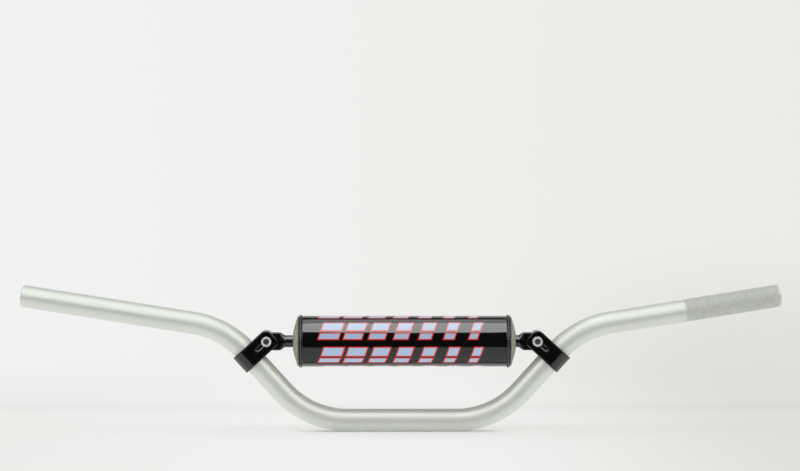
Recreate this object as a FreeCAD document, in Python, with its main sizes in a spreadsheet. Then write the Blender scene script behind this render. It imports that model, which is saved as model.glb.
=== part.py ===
import FreeCAD, Part
import os
from math import acos, cos, degrees, radians, sin, sqrt, tan

import Sketcher
from FreeCAD import Placement, Rotation, Vector

# Off-road motorcycle handlebar: a bent 22.2 mm tube, braced by a crossbar that two split clamps
# hold on its risers. The crossbar carries a foam roll in a sewn cover with a hook-and-loop flap.
#
# Frame, in millimetres: the origin is on the tube's axis, at the middle of the straight length
# that the stem's clamps hold. +X points to the clutch side's grip, +Y back to the rider, +Z up.
# The throttle side is at -X.

DIMENSIONS = {
    # tube: centre straight, lower bend, riser, upper bend and grip on each side
    "overall_width": 760.0,
    "tube_diameter": 22.2,
    "bore_diameter": 14.0,
    "centre_straight": 107.4,
    "bend_radius": 86.0,
    "riser_angle": 47.6,
    "riser_straight": 53.5,
    "grip_rise": 8.5,
    "grip_sweep": 11.5,
    "end_rounding": 1.2,
    # clamp: distances from the tube's axis, along and across the riser
    "clamp_station": 47.75,
    "clamp_width": 19.7,
    "clamp_wrap_radius": 14.0,
    "clamp_tip_reach": 31.0,
    "clamp_upper_corner": 7.0,
    "clamp_lower_corner": 5.0,
    "clamp_edge": 1.0,
    "bolt_reach": 21.5,
    "bolt_clearance": 6.4,
    "counterbore_diameter": 12.0,
    "counterbore_depth": 6.5,
    "groove_radius": 4.8,
    "groove_start": 10.6,
    "nut_recess": 4.5,
    # crossbar: a rod, forged flat at each end
    "rod_diameter": 12.0,
    "blade_thickness": 6.3,
    "blade_width": 17.9,
    "blade_flat": 14.0,
    "blade_shoulder": 18.8,
    "blade_edge": 1.0,
    "shoulder_edge": 3.0,
    "rod_edge": 5.9,
    # M6 socket head bolt and locking nut
    "thread_diameter": 5.9,
    "bolt_length": 25.0,
    "head_diameter": 10.2,
    "head_height": 6.0,
    "head_edge": 0.6,
    "key_width": 5.0,
    "key_depth": 3.0,
    "nut_width": 10.0,
    "nut_height": 6.0,
    "nut_hex_height": 4.2,
    "nut_collar_diameter": 8.9,
    "insert_diameter": 8.1,
    "insert_height": 1.6,
    # pad: foam roll on the crossbar, pushed along it to the clutch side
    "pad_offset": 2.5,
    "foam_length": 219.5,
    "foam_radius": 23.9,
    "foam_bore": 12.1,
    "foam_nose": 4.4,
    "foam_nose_radius": 8.0,
    "foam_slit": 0.6,
    # cover: sleeve with a turned hem at each end
    "cover_length": 208.4,
    "cover_inner_radius": 24.2,
    "cover_radius": 25.2,
    "hem_radius": 26.2,
    "hem_width": 3.5,
    "thread_radius": 26.4,
    "hem_stitch_inset": 2.2,
    "stitch_width": 0.5,
    # closure: angles about the crossbar, from +Y towards +Z
    "loop_radius": 26.1,
    "loop_start": -47.0,
    "loop_span": 36.0,
    "loop_length": 190.0,
    "hook_inner_radius": 26.4,
    "hook_radius": 27.3,
    "flap_radius": 28.2,
    "flap_start": -54.0,
    "flap_span": 45.0,
    "flap_length": 196.0,
    "flap_root_radius": 25.5,
    "flap_root_span": 4.0,
    "strip_stitch_inset": 2.0,
    "loop_stitch_radius": 26.2,
    "flap_stitch_radius": 28.4,
}

SIDES = {"clutch_side": 1, "throttle_side": -1}

X_AXIS = Vector(1, 0, 0)
Y_AXIS = Vector(0, 1, 0)
Z_AXIS = Vector(0, 0, 1)

doc = FreeCAD.newDocument("Handlebar")
sheet = doc.addObject("Spreadsheet::Sheet", "Sheet")
for row, (alias, number) in enumerate(DIMENSIONS.items(), start=1):
    sheet.set(f"A{row}", alias)
    sheet.set(f"B{row}", str(number))
    sheet.setAlias(f"B{row}", alias)
doc.recompute()


# ---------------------------------------------------------------- helpers

def size(alias):
    return float(sheet.get(alias))


def bind(item, **sizes):
    """Bind properties to expressions over the sheet's cells."""
    for name, expression in sizes.items():
        item.setExpression(name, expression)
    return item


def primitive(kind, name, placement=None, **sizes):
    item = doc.addObject(f"Part::{kind}", name)
    if placement:
        item.Placement = placement
    return bind(item, **sizes)


def cylinder(name, radius, height, placement=None, **more):
    return primitive("Cylinder", name, placement, Radius=radius, Height=height, **more)


def fuse(name, pieces):
    item = doc.addObject("Part::MultiFuse", name)
    item.Shapes = pieces
    item.Refine = True
    return item


def cut(name, base, tool):
    item = doc.addObject("Part::Cut", name)
    item.Base = base
    item.Tool = tool
    return item


def new_body(name):
    return doc.addObject("PartDesign::Body", name)


def feature(body, kind, name, placement=None, **sizes):
    """Add one PartDesign feature; its sizes are expressions over the sheet."""
    item = body.newObject(f"PartDesign::{kind}", name)
    if placement:
        item.Placement = placement
    return bind(item, **sizes)


def origin_plane(body, role):
    return next(plane for plane in body.Origin.OriginFeatures if plane.Role == role)


def new_sketch(body, name, role):
    sketch = body.newObject("Sketcher::SketchObject", name)
    sketch.AttachmentSupport = [(origin_plane(body, role), "")]
    sketch.MapMode = "FlatFace"
    return sketch


def constrain(sketch, expression, *constraint):
    """Add a sketch dimension that follows an expression over the sheet."""
    index = sketch.addConstraint(Sketcher.Constraint(*constraint))
    sketch.setExpression(f"Constraints[{index}]", expression)


def arc(x, y, radius, start, end):
    circle = Part.Circle(Vector(x, y, 0), Z_AXIS, radius)
    return Part.ArcOfCircle(circle, radians(start), radians(end))


def line(x1, y1, x2, y2):
    return Part.LineSegment(Vector(x1, y1, 0), Vector(x2, y2, 0))


# how the sketcher names its own origin and a line's or an arc's points
ORIGIN_POINT = (-1, 1)
START, END, CENTRE = 1, 2, 3


# ---------------------------------------------------------------- tube

def unit(vector):
    return Vector(vector).normalize()


def side_route(side):
    """The directions of one side's riser and grip, and the points where its stretches meet."""
    radius = size("bend_radius")
    rise = radians(size("riser_angle"))
    riser = Vector(side * cos(rise), 0, sin(rise))
    grip = unit(Vector(side, tan(radians(size("grip_sweep"))), tan(radians(size("grip_rise")))))
    outward = Vector(side, 0, 0)
    lower_start = outward * (size("centre_straight") / 2)
    lower_end = bend_end(lower_start, outward, riser, radius)
    upper_start = lower_end + riser * size("riser_straight")
    upper_end = bend_end(upper_start, riser, grip, radius)
    return outward, riser, grip, lower_start, lower_end, upper_start, upper_end


def turn_inward(incoming, outgoing):
    """The direction from a bend's start to its centre."""
    return unit(outgoing - incoming * incoming.dot(outgoing))


def bend_end(start, incoming, outgoing, radius):
    angle = acos(incoming.dot(outgoing))
    inward = turn_inward(incoming, outgoing)
    return start + incoming * (radius * sin(angle)) + inward * (radius * (1 - cos(angle)))


def grip_length(grip, upper_end):
    """The length of the last straight, whose rim reaches half of the overall width."""
    rim = size("tube_diameter") / 2 * sqrt(1 - grip.x ** 2)
    return (size("overall_width") / 2 - rim - abs(upper_end.x)) / abs(grip.x)


def straight_run(name, radius, start, direction, length):
    run = primitive("Cylinder", name, Placement(start, Rotation(Z_AXIS, direction)), Radius=radius)
    run.Height = length
    return run


def bend_run(name, radius, start, incoming, outgoing):
    inward = turn_inward(incoming, outgoing)
    centre = start + inward * size("bend_radius")
    turn = Rotation(-inward, incoming, (-inward).cross(incoming), "XYZ")
    run = primitive("Torus", name, Placement(centre, turn), Radius1="Sheet.bend_radius", Radius2=radius)
    run.Angle3 = degrees(acos(incoming.dot(outgoing)))
    return run


def tube_solid(name, radius):
    """One solid rod along the whole centreline."""
    along_x = Placement(Vector(0, 0, 0), Rotation(Z_AXIS, X_AXIS))
    centre = cylinder(f"{name}_centre", radius, "Sheet.centre_straight", along_x,
                      **{"Placement.Base.x": "-Sheet.centre_straight / 2"})
    pieces = [centre]
    for side_name, side in SIDES.items():
        prefix = f"{name}_{side_name}"
        outward, riser, grip, lower_start, lower_end, upper_start, upper_end = side_route(side)
        pieces.append(bend_run(f"{prefix}_lower_bend", radius, lower_start, outward, riser))
        pieces.append(straight_run(f"{prefix}_riser", radius, lower_end, riser, size("riser_straight")))
        pieces.append(bend_run(f"{prefix}_upper_bend", radius, upper_start, riser, grip))
        length = grip_length(grip, upper_end)
        pieces.append(straight_run(f"{prefix}_grip", radius, upper_end, grip, length))
    return fuse(name, pieces)


def make_tube():
    outer = tube_solid("tube_outside", "Sheet.tube_diameter / 2")
    inner = tube_solid("tube_inside", "Sheet.bore_diameter / 2")
    hollow = cut("tube_hollow", outer, inner)
    doc.recompute()
    # the outer rim of each open end is rounded over
    near_end = size("overall_width") / 2 - size("tube_diameter")
    rounding = size("end_rounding")
    rims = []
    for index, edge in enumerate(hollow.Shape.Edges, start=1):
        if edge.Curve.TypeId != "Part::GeomCircle":
            continue
        is_outer = abs(edge.Curve.Radius - size("tube_diameter") / 2) < 1e-6
        if is_outer and abs(edge.Curve.Center.x) > near_end:
            rims.append((index, rounding, rounding))
    rounded = doc.addObject("Part::Fillet", "handlebar_tube")
    rounded.Base = hollow
    rounded.Edges = rims
    return rounded


# ---------------------------------------------------------------- crossbar clamps

def clamp_placement(side):
    """The clamp's own frame: X from the tube's axis to the bolt, Y back, Z along the riser."""
    _, riser, _, _, lower_end, _, _ = side_route(side)
    across = Vector(-side * riser.z, 0, side * riser.x)
    centre = lower_end + riser * size("clamp_station")
    return Placement(centre, Rotation(across, Y_AXIS, across.cross(Y_AXIS), "XYZ"))


def clamp_outline(body, upward):
    """The clamp from the front: straight over the tube, with rounded corners at the ears' tips.

    upward is the sign of the own Z axis that points up the riser."""
    wrap = size("clamp_wrap_radius")
    tip = size("clamp_tip_reach")
    half = size("clamp_width") / 2
    corners = {upward: "clamp_upper_corner", -upward: "clamp_lower_corner"}
    low = size(corners[-1])
    high = size(corners[1])
    sketch = new_sketch(body, f"{body.Name}_outline", "XZ_Plane")
    bottom, low_corner, end, high_corner, top, back = sketch.addGeometry([
        line(-wrap, -half, tip - low, -half),
        arc(tip - low, low - half, low, 270, 360),
        line(tip, low - half, tip, half - high),
        arc(tip - high, half - high, high, 0, 90),
        line(tip - high, half, -wrap, half),
        line(-wrap, half, -wrap, -half),
    ], False)
    smooth = [bottom, low_corner, end, high_corner, top]
    for this, following in zip(smooth, smooth[1:]):
        sketch.addConstraint(Sketcher.Constraint("Tangent", this, END, following, START))
    for this, following in ((top, back), (back, bottom)):
        sketch.addConstraint(Sketcher.Constraint("Coincident", this, END, following, START))
    sketch.addConstraint(Sketcher.Constraint("Vertical", end))
    for level in (bottom, top):
        sketch.addConstraint(Sketcher.Constraint("Horizontal", level))
    sketch.addConstraint(Sketcher.Constraint("Symmetric", back, START, back, END, -1))
    constrain(sketch, f"Sheet.{corners[-1]}", "Radius", low_corner, low)
    constrain(sketch, f"Sheet.{corners[1]}", "Radius", high_corner, high)
    constrain(sketch, "Sheet.clamp_width", "Distance", back, 2 * half)
    constrain(sketch, "Sheet.clamp_tip_reach", "DistanceX", *ORIGIN_POINT, end, START, tip)
    constrain(sketch, "Sheet.clamp_wrap_radius", "DistanceX", back, START, *ORIGIN_POINT, wrap)
    return sketch


def wrap_waste(body):
    """What the half-round wrap leaves of a square end: a frame about the arc."""
    wrap = size("clamp_wrap_radius")
    beyond = 1.2 * wrap
    sketch = new_sketch(body, f"{body.Name}_wrap_waste", "XY_Plane")
    round_wrap, *frame = sketch.addGeometry([
        arc(0, 0, wrap, 90, 270),
        line(0, -wrap, 0, -beyond),
        line(0, -beyond, -beyond, -beyond),
        line(-beyond, -beyond, -beyond, beyond),
        line(-beyond, beyond, 0, beyond),
        line(0, beyond, 0, wrap),
    ], False)
    loop = [round_wrap] + frame
    for this, following in zip(loop, loop[1:] + loop[:1]):
        sketch.addConstraint(Sketcher.Constraint("Coincident", this, END, following, START))
    sketch.addConstraint(Sketcher.Constraint("Coincident", round_wrap, CENTRE, *ORIGIN_POINT))
    constrain(sketch, "Sheet.clamp_wrap_radius", "Radius", round_wrap, wrap)
    return sketch


def make_clamp(side_name, side):
    body = new_body(f"{side_name}_clamp")
    name = body.Name
    block = feature(body, "Pad", f"{name}_block", Length="2 * Sheet.clamp_wrap_radius")
    block.Profile = clamp_outline(body, -side)
    block.SideType = "Symmetric"
    doc.recompute()
    # edges of the front and back faces, chamfered before the wrap is rounded
    wrap = size("clamp_wrap_radius")
    outline = []
    for index, edge in enumerate(block.Shape.Edges, start=1):
        ends = edge.Vertexes
        on_face = all(abs(abs(vertex.Y) - wrap) < 1e-6 for vertex in ends)
        across = abs(ends[0].Y - ends[-1].Y) > 1e-6
        at_back = all(abs(vertex.X + wrap) < 1e-6 for vertex in ends)
        if on_face and not across and not at_back:
            outline.append(f"Edge{index}")
    chamfer = feature(body, "Chamfer", f"{name}_edges", Size="Sheet.clamp_edge")
    chamfer.Base = (block, outline)
    doc.recompute()
    squared = chamfer.Shape.Volume
    rounding = feature(body, "Pocket", f"{name}_wrap", Length="2 * Sheet.clamp_width")
    rounding.Profile = wrap_waste(body)
    rounding.SideType = "Symmetric"
    doc.recompute()
    if rounding.Shape.Volume > 0.99 * squared:
        raise RuntimeError(f"{name}'s wrap was not rounded")
    # bore for the tube
    feature(body, "SubtractiveCylinder", f"{name}_bore", Radius="Sheet.tube_diameter / 2",
            Height="Sheet.clamp_width", **{"Placement.Base.z": "-Sheet.clamp_width / 2"})
    # slot for the crossbar's blade, open at the ears' tips and into the bore
    feature(body, "SubtractiveBox", f"{name}_slot", Length="Sheet.clamp_tip_reach",
            Width="Sheet.blade_thickness", Height="Sheet.clamp_width",
            **{"Placement.Base.y": "-Sheet.blade_thickness / 2",
               "Placement.Base.z": "-Sheet.clamp_width / 2"})
    # bolt hole, counterbore in the front ear and nut pocket in the rear ear, along Y
    along_y = Placement(Vector(0, 0, 0), Rotation(Z_AXIS, Y_AXIS))
    feature(body, "SubtractiveCylinder", f"{name}_bolt_hole", along_y,
            Radius="Sheet.bolt_clearance / 2", Height="2 * Sheet.clamp_wrap_radius",
            **{"Placement.Base.x": "Sheet.bolt_reach", "Placement.Base.y": "-Sheet.clamp_wrap_radius"})
    feature(body, "SubtractiveCylinder", f"{name}_counterbore", along_y,
            Radius="Sheet.counterbore_diameter / 2", Height="Sheet.counterbore_depth",
            **{"Placement.Base.x": "Sheet.bolt_reach", "Placement.Base.y": "-Sheet.clamp_wrap_radius"})
    pocket = feature(body, "SubtractivePrism", f"{name}_nut_pocket", along_y,
                     Circumradius="(Sheet.nut_width + 0.1) / 2 / cos(30)", Height="Sheet.nut_recess",
                     **{"Placement.Base.x": "Sheet.bolt_reach",
                        "Placement.Base.y": "Sheet.clamp_wrap_radius - Sheet.nut_recess"})
    pocket.Polygon = 6
    # round-ended finger groove in the front ear, from over the tube to the counterbore
    along_x = Placement(Vector(0, 0, 0), Rotation(Z_AXIS, X_AXIS))
    feature(body, "SubtractiveCylinder", f"{name}_groove", along_x, Radius="Sheet.groove_radius",
            Height="Sheet.bolt_reach - Sheet.groove_start",
            **{"Placement.Base.x": "Sheet.groove_start", "Placement.Base.y": "-Sheet.clamp_wrap_radius"})
    feature(body, "SubtractiveSphere", f"{name}_groove_end", Radius="Sheet.groove_radius",
            **{"Placement.Base.x": "Sheet.groove_start", "Placement.Base.y": "-Sheet.clamp_wrap_radius"})
    body.Placement = clamp_placement(side)
    return body


# ---------------------------------------------------------------- clamp bolts and nuts

def fastener_placement(side):
    """On the bolt's axis: Z back from the middle of the blade, X across the clamp."""
    in_clamp = Placement(Vector(size("bolt_reach"), 0, 0), Rotation(Z_AXIS, Y_AXIS))
    return clamp_placement(side).multiply(in_clamp)


def make_bolt(side_name, side):
    """M6 socket head bolt: the head sits in the counterbore, the shank passes both ears."""
    body = new_body(f"{side_name}_bolt")
    name = body.Name
    seat = "Sheet.counterbore_depth - Sheet.clamp_wrap_radius"
    feature(body, "AdditiveCylinder", f"{name}_shank", Radius="Sheet.thread_diameter / 2",
            Height="Sheet.bolt_length", **{"Placement.Base.z": seat})
    head = feature(body, "AdditiveCylinder", f"{name}_head", Radius="Sheet.head_diameter / 2",
                   Height="Sheet.head_height", **{"Placement.Base.z": f"{seat} - Sheet.head_height"})
    doc.recompute()
    top = size("counterbore_depth") - size("clamp_wrap_radius") - size("head_height")
    rims = []
    for index, edge in enumerate(head.Shape.Edges, start=1):
        if all(abs(vertex.Z - top) < 1e-6 for vertex in edge.Vertexes):
            rims.append(f"Edge{index}")
    rounding = feature(body, "Fillet", f"{name}_edge", Radius="Sheet.head_edge")
    rounding.Base = (head, rims)
    key = feature(body, "SubtractivePrism", f"{name}_key", Circumradius="Sheet.key_width / 2 / cos(30)",
                  Height="Sheet.key_depth", **{"Placement.Base.z": f"{seat} - Sheet.head_height"})
    key.Polygon = 6
    body.Placement = fastener_placement(side)
    return body


def make_nut(side_name, side):
    """Locking nut: a hexagon with a round collar, bored for the thread and for the insert."""
    body = new_body(f"{side_name}_nut")
    name = body.Name
    floor = "Sheet.clamp_wrap_radius - Sheet.nut_recess"
    hexagon = feature(body, "AdditivePrism", f"{name}_hexagon", Circumradius="Sheet.nut_width / 2 / cos(30)",
                      Height="Sheet.nut_hex_height", **{"Placement.Base.z": floor})
    hexagon.Polygon = 6
    feature(body, "AdditiveCylinder", f"{name}_collar", Radius="Sheet.nut_collar_diameter / 2",
            Height="Sheet.nut_height", **{"Placement.Base.z": floor})
    feature(body, "SubtractiveCylinder", f"{name}_thread", Radius="Sheet.thread_diameter / 2",
            Height="Sheet.nut_height", **{"Placement.Base.z": floor})
    feature(body, "SubtractiveCylinder", f"{name}_insert_seat", Radius="Sheet.insert_diameter / 2",
            Height="Sheet.insert_height",
            **{"Placement.Base.z": f"{floor} + Sheet.nut_height - Sheet.insert_height"})
    body.Placement = fastener_placement(side)
    return body


def make_nut_insert(side_name, side):
    """Nylon ring, pressed in the nut's collar and gripping the bolt."""
    name = f"{side_name}_nut_insert"
    ring = cut(name, cylinder(f"{name}_disc", "Sheet.insert_diameter / 2", "Sheet.insert_height"),
               cylinder(f"{name}_hole", "Sheet.thread_diameter / 2", "Sheet.insert_height"))
    height = size("clamp_wrap_radius") - size("nut_recess") + size("nut_height") - size("insert_height")
    ring.Placement = fastener_placement(side).multiply(Placement(Vector(0, 0, height), Rotation()))
    return ring


# ---------------------------------------------------------------- crossbar

def bolt_centre():
    return fastener_placement(1).Base


def section_sketch(body, name, distance, height, thickness, corner):
    """A rounded rectangle across the crossbar, at a distance inside the bolt's centre."""
    sketch = new_sketch(body, name, "YZ_Plane")
    sketch.AttachmentOffset = Placement(Vector(0, 0, bolt_centre().x - distance), Rotation())
    half_y = thickness / 2
    half_z = height / 2
    flat_y = half_y - corner
    flat_z = half_z - corner
    sketch.addGeometry([
        line(half_y, -flat_z, half_y, flat_z),
        arc(flat_y, flat_z, corner, 0, 90),
        line(flat_y, half_z, -flat_y, half_z),
        arc(-flat_y, flat_z, corner, 90, 180),
        line(-half_y, flat_z, -half_y, -flat_z),
        arc(-flat_y, -flat_z, corner, 180, 270),
        line(-flat_y, -half_z, flat_y, -half_z),
        arc(flat_y, -flat_z, corner, 270, 360),
    ], False)
    return sketch


def make_crossbar():
    body = new_body("crossbar")
    bolt_x = bolt_centre().x
    rod = feature(body, "Pad", "crossbar_rod")
    profile = new_sketch(body, "crossbar_rod_section", "YZ_Plane")
    circle = profile.addGeometry(Part.Circle(Vector(0, 0, 0), Z_AXIS, size("rod_diameter") / 2), False)
    profile.addConstraint(Sketcher.Constraint("Coincident", circle, CENTRE, *ORIGIN_POINT))
    constrain(profile, "Sheet.rod_diameter", "Diameter", circle, size("rod_diameter"))
    rod.Profile = profile
    rod.SideType = "Symmetric"
    rod.Length = 2 * (bolt_x - size("blade_shoulder"))
    # forged shoulder: the round rod flattens and widens into the blade
    rod_size = size("rod_diameter")
    middle = (size("blade_shoulder") + size("blade_flat")) / 2
    middle_height = (rod_size + size("blade_width")) / 2
    middle_thickness = (rod_size + size("blade_thickness")) / 2
    stations = [
        (size("blade_shoulder"), rod_size, rod_size, size("rod_edge")),
        (middle, middle_height, middle_thickness, size("shoulder_edge")),
        (size("blade_flat"), size("blade_width"), size("blade_thickness"), size("blade_edge")),
    ]
    sections = [section_sketch(body, f"crossbar_section_{place}", *station)
                for place, station in enumerate(stations, start=1)]
    shoulder = feature(body, "AdditiveLoft", "crossbar_shoulder")
    shoulder.Profile = sections[0]
    shoulder.Sections = sections[1:]
    # blade with a round end about the bolt
    outline = new_sketch(body, "crossbar_blade_outline", "XZ_Plane")
    half_width = size("blade_width") / 2
    flat_x = bolt_x - size("blade_flat")
    top, tip, bottom, back = outline.addGeometry([
        line(flat_x, half_width, bolt_x, half_width),
        arc(bolt_x, 0, half_width, -90, 90),
        line(bolt_x, -half_width, flat_x, -half_width),
        line(flat_x, -half_width, flat_x, half_width),
    ], False)
    hole = outline.addGeometry(Part.Circle(Vector(bolt_x, 0, 0), Z_AXIS, size("bolt_clearance") / 2), False)
    constrain(outline, "Sheet.bolt_clearance", "Diameter", hole, size("bolt_clearance"))
    constrain(outline, "Sheet.blade_width / 2", "Radius", tip, half_width)
    blade = feature(body, "Pad", "crossbar_blade", Length="Sheet.blade_thickness")
    blade.Profile = outline
    blade.SideType = "Symmetric"
    mirrored = feature(body, "Mirrored", "crossbar_other_end")
    mirrored.Originals = [shoulder, blade]
    mirrored.MirrorPlane = (origin_plane(body, "YZ_Plane"), [""])
    body.Tip = mirrored
    body.Placement = Placement(Vector(0, 0, bolt_centre().z), Rotation())
    return body


# ---------------------------------------------------------------- pad

def on_crossbar(turn=0.0):
    """The pad's own frame: Z along +X, angles from +Y towards +Z."""
    about = Rotation(Y_AXIS, Z_AXIS, X_AXIS, "XYZ").multiply(Rotation(Z_AXIS, turn))
    return Placement(Vector(size("pad_offset"), 0, bolt_centre().z), about)


def sleeve(name, inner, outer, length, offset="0"):
    """A ring of rectangular section, centred on its own frame unless it is offset."""
    base = f"({offset}) - ({length}) / 2"
    outside = cylinder(f"{name}_outside", outer, length, **{"Placement.Base.z": base})
    inside = cylinder(f"{name}_inside", inner, length, **{"Placement.Base.z": base})
    return cut(name, outside, inside)


def shell_strip(name, inner, outer, span, length):
    """A strip wrapped on a cylinder, from angle 0 to its span."""
    base = f"-({length}) / 2"
    outside = cylinder(f"{name}_outside", outer, length, Angle=span, **{"Placement.Base.z": base})
    inside = cylinder(f"{name}_inside", inner, length, **{"Placement.Base.z": base})
    return cut(name, outside, inside)


def make_pad_foam():
    """Foam roll with coned noses, slit along the back so that it slips over the rod."""
    length = "Sheet.foam_length - 2 * Sheet.foam_nose"
    roll = cylinder("pad_foam_roll", "Sheet.foam_radius", length,
                    **{"Placement.Base.z": "Sheet.foam_nose - Sheet.foam_length / 2"})
    noses = []
    for side_name, side in SIDES.items():
        facing = Placement(Vector(0, 0, 0), Rotation(Z_AXIS, Z_AXIS * side))
        nose = primitive("Cone", f"pad_foam_{side_name}_nose", facing, Radius1="Sheet.foam_radius",
                         Radius2="Sheet.foam_nose_radius", Height="Sheet.foam_nose")
        bind(nose, **{"Placement.Base.z": f"{side} * (Sheet.foam_length / 2 - Sheet.foam_nose)"})
        noses.append(nose)
    solid = fuse("pad_foam_solid", [roll] + noses)
    bore = cylinder("pad_foam_bore", "Sheet.foam_bore / 2", "Sheet.foam_length",
                    **{"Placement.Base.z": "-Sheet.foam_length / 2"})
    slit = primitive("Box", "pad_foam_slit", Length="2 * Sheet.foam_radius", Width="Sheet.foam_slit",
                     Height="Sheet.foam_length")
    bind(slit, **{"Placement.Base.y": "-Sheet.foam_slit / 2", "Placement.Base.z": "-Sheet.foam_length / 2"})
    foam = cut("pad_foam", solid, fuse("pad_foam_openings", [bore, slit]))
    foam.Placement = on_crossbar()
    return foam


def make_pad_cover():
    """Sleeve about the foam; the fabric is turned over on itself at each end."""
    hems = []
    for side_name, side in SIDES.items():
        middle = f"{side} * (Sheet.cover_length - Sheet.hem_width) / 2"
        hem = cylinder(f"pad_cover_{side_name}_hem", "Sheet.hem_radius", "Sheet.hem_width",
                       **{"Placement.Base.z": f"{middle} - Sheet.hem_width / 2"})
        hems.append(hem)
    wrap = cylinder("pad_cover_wrap", "Sheet.cover_radius", "Sheet.cover_length",
                    **{"Placement.Base.z": "-Sheet.cover_length / 2"})
    inside = cylinder("pad_cover_inside", "Sheet.cover_inner_radius", "Sheet.cover_length",
                      **{"Placement.Base.z": "-Sheet.cover_length / 2"})
    cover = cut("pad_cover", fuse("pad_cover_outside", [wrap] + hems), inside)
    cover.Placement = on_crossbar()
    return cover


def make_hem_stitching(side_name, side):
    middle = f"{side} * (Sheet.cover_length / 2 - Sheet.hem_stitch_inset)"
    ring = sleeve(f"{side_name}_hem_stitching", "Sheet.hem_radius", "Sheet.thread_radius",
                  "Sheet.stitch_width", middle)
    ring.Placement = on_crossbar()
    return ring


def make_loop_strip():
    strip = shell_strip("loop_strip", "Sheet.cover_radius", "Sheet.loop_radius",
                        "Sheet.loop_span", "Sheet.loop_length")
    strip.Placement = on_crossbar(size("loop_start"))
    return strip


def make_hook_strip():
    strip = shell_strip("hook_strip", "Sheet.hook_inner_radius", "Sheet.hook_radius",
                        "Sheet.loop_span", "Sheet.loop_length")
    strip.Placement = on_crossbar(size("loop_start"))
    return strip


def make_cover_flap():
    """The wrap's free edge, with a thicker root where it folds off the cover."""
    leaf = shell_strip("cover_flap_leaf", "Sheet.hook_radius", "Sheet.flap_radius",
                       "Sheet.flap_span", "Sheet.flap_length")
    root = shell_strip("cover_flap_root", "Sheet.flap_root_radius", "Sheet.flap_radius",
                       "Sheet.flap_root_span", "Sheet.flap_length")
    flap = fuse("cover_flap", [leaf, root])
    flap.Placement = on_crossbar(size("flap_start"))
    return flap


def make_strip_stitching(name, inner, outer):
    """Two straight rows of thread along the edges of a hook or loop strip."""
    thread_span = degrees(size("stitch_width") / size("hook_radius"))
    inset = degrees(size("strip_stitch_inset") / size("hook_radius"))
    rows = []
    for edge, start in (("lower", inset), ("upper", size("loop_span") - inset - thread_span)):
        row = shell_strip(f"{name}_{edge}", inner, outer, str(thread_span), "Sheet.loop_length - 4")
        row.Placement = Placement(Vector(0, 0, 0), Rotation(Z_AXIS, start))
        rows.append(row)
    stitching = doc.addObject("Part::Compound", name)
    stitching.Links = rows
    stitching.Placement = on_crossbar(size("loop_start"))
    return stitching


# ---------------------------------------------------------------- assembly

subparts = [make_tube()]
for side_name, side in SIDES.items():
    subparts.append(make_clamp(side_name, side))
    subparts.append(make_bolt(side_name, side))
    subparts.append(make_nut(side_name, side))
    subparts.append(make_nut_insert(side_name, side))
    subparts.append(make_hem_stitching(side_name, side))
subparts.append(make_crossbar())
subparts.append(make_pad_foam())
subparts.append(make_pad_cover())
subparts.append(make_cover_flap())
subparts.append(make_hook_strip())
subparts.append(make_loop_strip())
subparts.append(make_strip_stitching("hook_strip_stitching", "Sheet.flap_radius", "Sheet.flap_stitch_radius"))
subparts.append(make_strip_stitching("loop_strip_stitching", "Sheet.loop_radius", "Sheet.loop_stitch_radius"))
doc.recompute()

for item in doc.Objects:
    if "Invalid" in item.State or "Error" in item.State:
        raise RuntimeError(f"{item.Label} failed: {item.State}")
os.makedirs("parts", exist_ok=True)
for subpart in subparts:
    if subpart.Shape.isNull() or not subpart.Shape.isValid():
        raise RuntimeError(f"{subpart.Label} has no valid shape")
    subpart.Shape.exportStep(f"parts/{subpart.Label}.step")
    box = subpart.Shape.BoundBox
    print(f"{subpart.Label}: {len(subpart.Shape.Solids)} solid, {subpart.Shape.Volume:.1f} mm3, "
          f"x {box.XMin:.2f}..{box.XMax:.2f}, y {box.YMin:.2f}..{box.YMax:.2f}, z {box.ZMin:.2f}..{box.ZMax:.2f}")
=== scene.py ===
"""Looks of an off-road motorcycle handlebar: bent tube, clamped crossbar and wrapped pad.

Frame: origin on the tube's axis between the stem's clamps, +X to the clutch side's grip,
+Y back to the rider, +Z up. Everything is in metres.
"""

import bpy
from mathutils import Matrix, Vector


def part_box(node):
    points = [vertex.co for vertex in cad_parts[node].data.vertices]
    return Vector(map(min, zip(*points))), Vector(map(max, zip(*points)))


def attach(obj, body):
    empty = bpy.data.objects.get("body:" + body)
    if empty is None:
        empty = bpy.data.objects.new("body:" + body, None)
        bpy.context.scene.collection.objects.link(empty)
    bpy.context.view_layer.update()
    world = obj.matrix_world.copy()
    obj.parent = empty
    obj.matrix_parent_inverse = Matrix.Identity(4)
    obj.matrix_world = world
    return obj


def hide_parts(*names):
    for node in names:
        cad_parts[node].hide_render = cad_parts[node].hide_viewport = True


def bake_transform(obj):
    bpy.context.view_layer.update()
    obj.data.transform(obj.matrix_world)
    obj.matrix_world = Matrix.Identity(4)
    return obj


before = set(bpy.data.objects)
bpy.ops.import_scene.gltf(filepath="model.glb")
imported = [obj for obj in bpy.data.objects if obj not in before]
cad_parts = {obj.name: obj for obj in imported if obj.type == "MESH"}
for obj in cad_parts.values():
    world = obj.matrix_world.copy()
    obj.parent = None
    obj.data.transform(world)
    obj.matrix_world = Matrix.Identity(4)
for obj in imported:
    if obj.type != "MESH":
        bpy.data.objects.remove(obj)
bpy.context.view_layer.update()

import math

import bmesh
import bpy
import numpy as np
from mathutils import Matrix, Vector, noise

MM = 0.001
SIDES = {"clutch_side": 1, "throttle_side": -1}


def middle(node):
    low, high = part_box(node)
    return (Vector(low) + Vector(high)) / 2


def extent(node):
    low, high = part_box(node)
    return Vector(high) - Vector(low)


# ---------------- sizes

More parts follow.
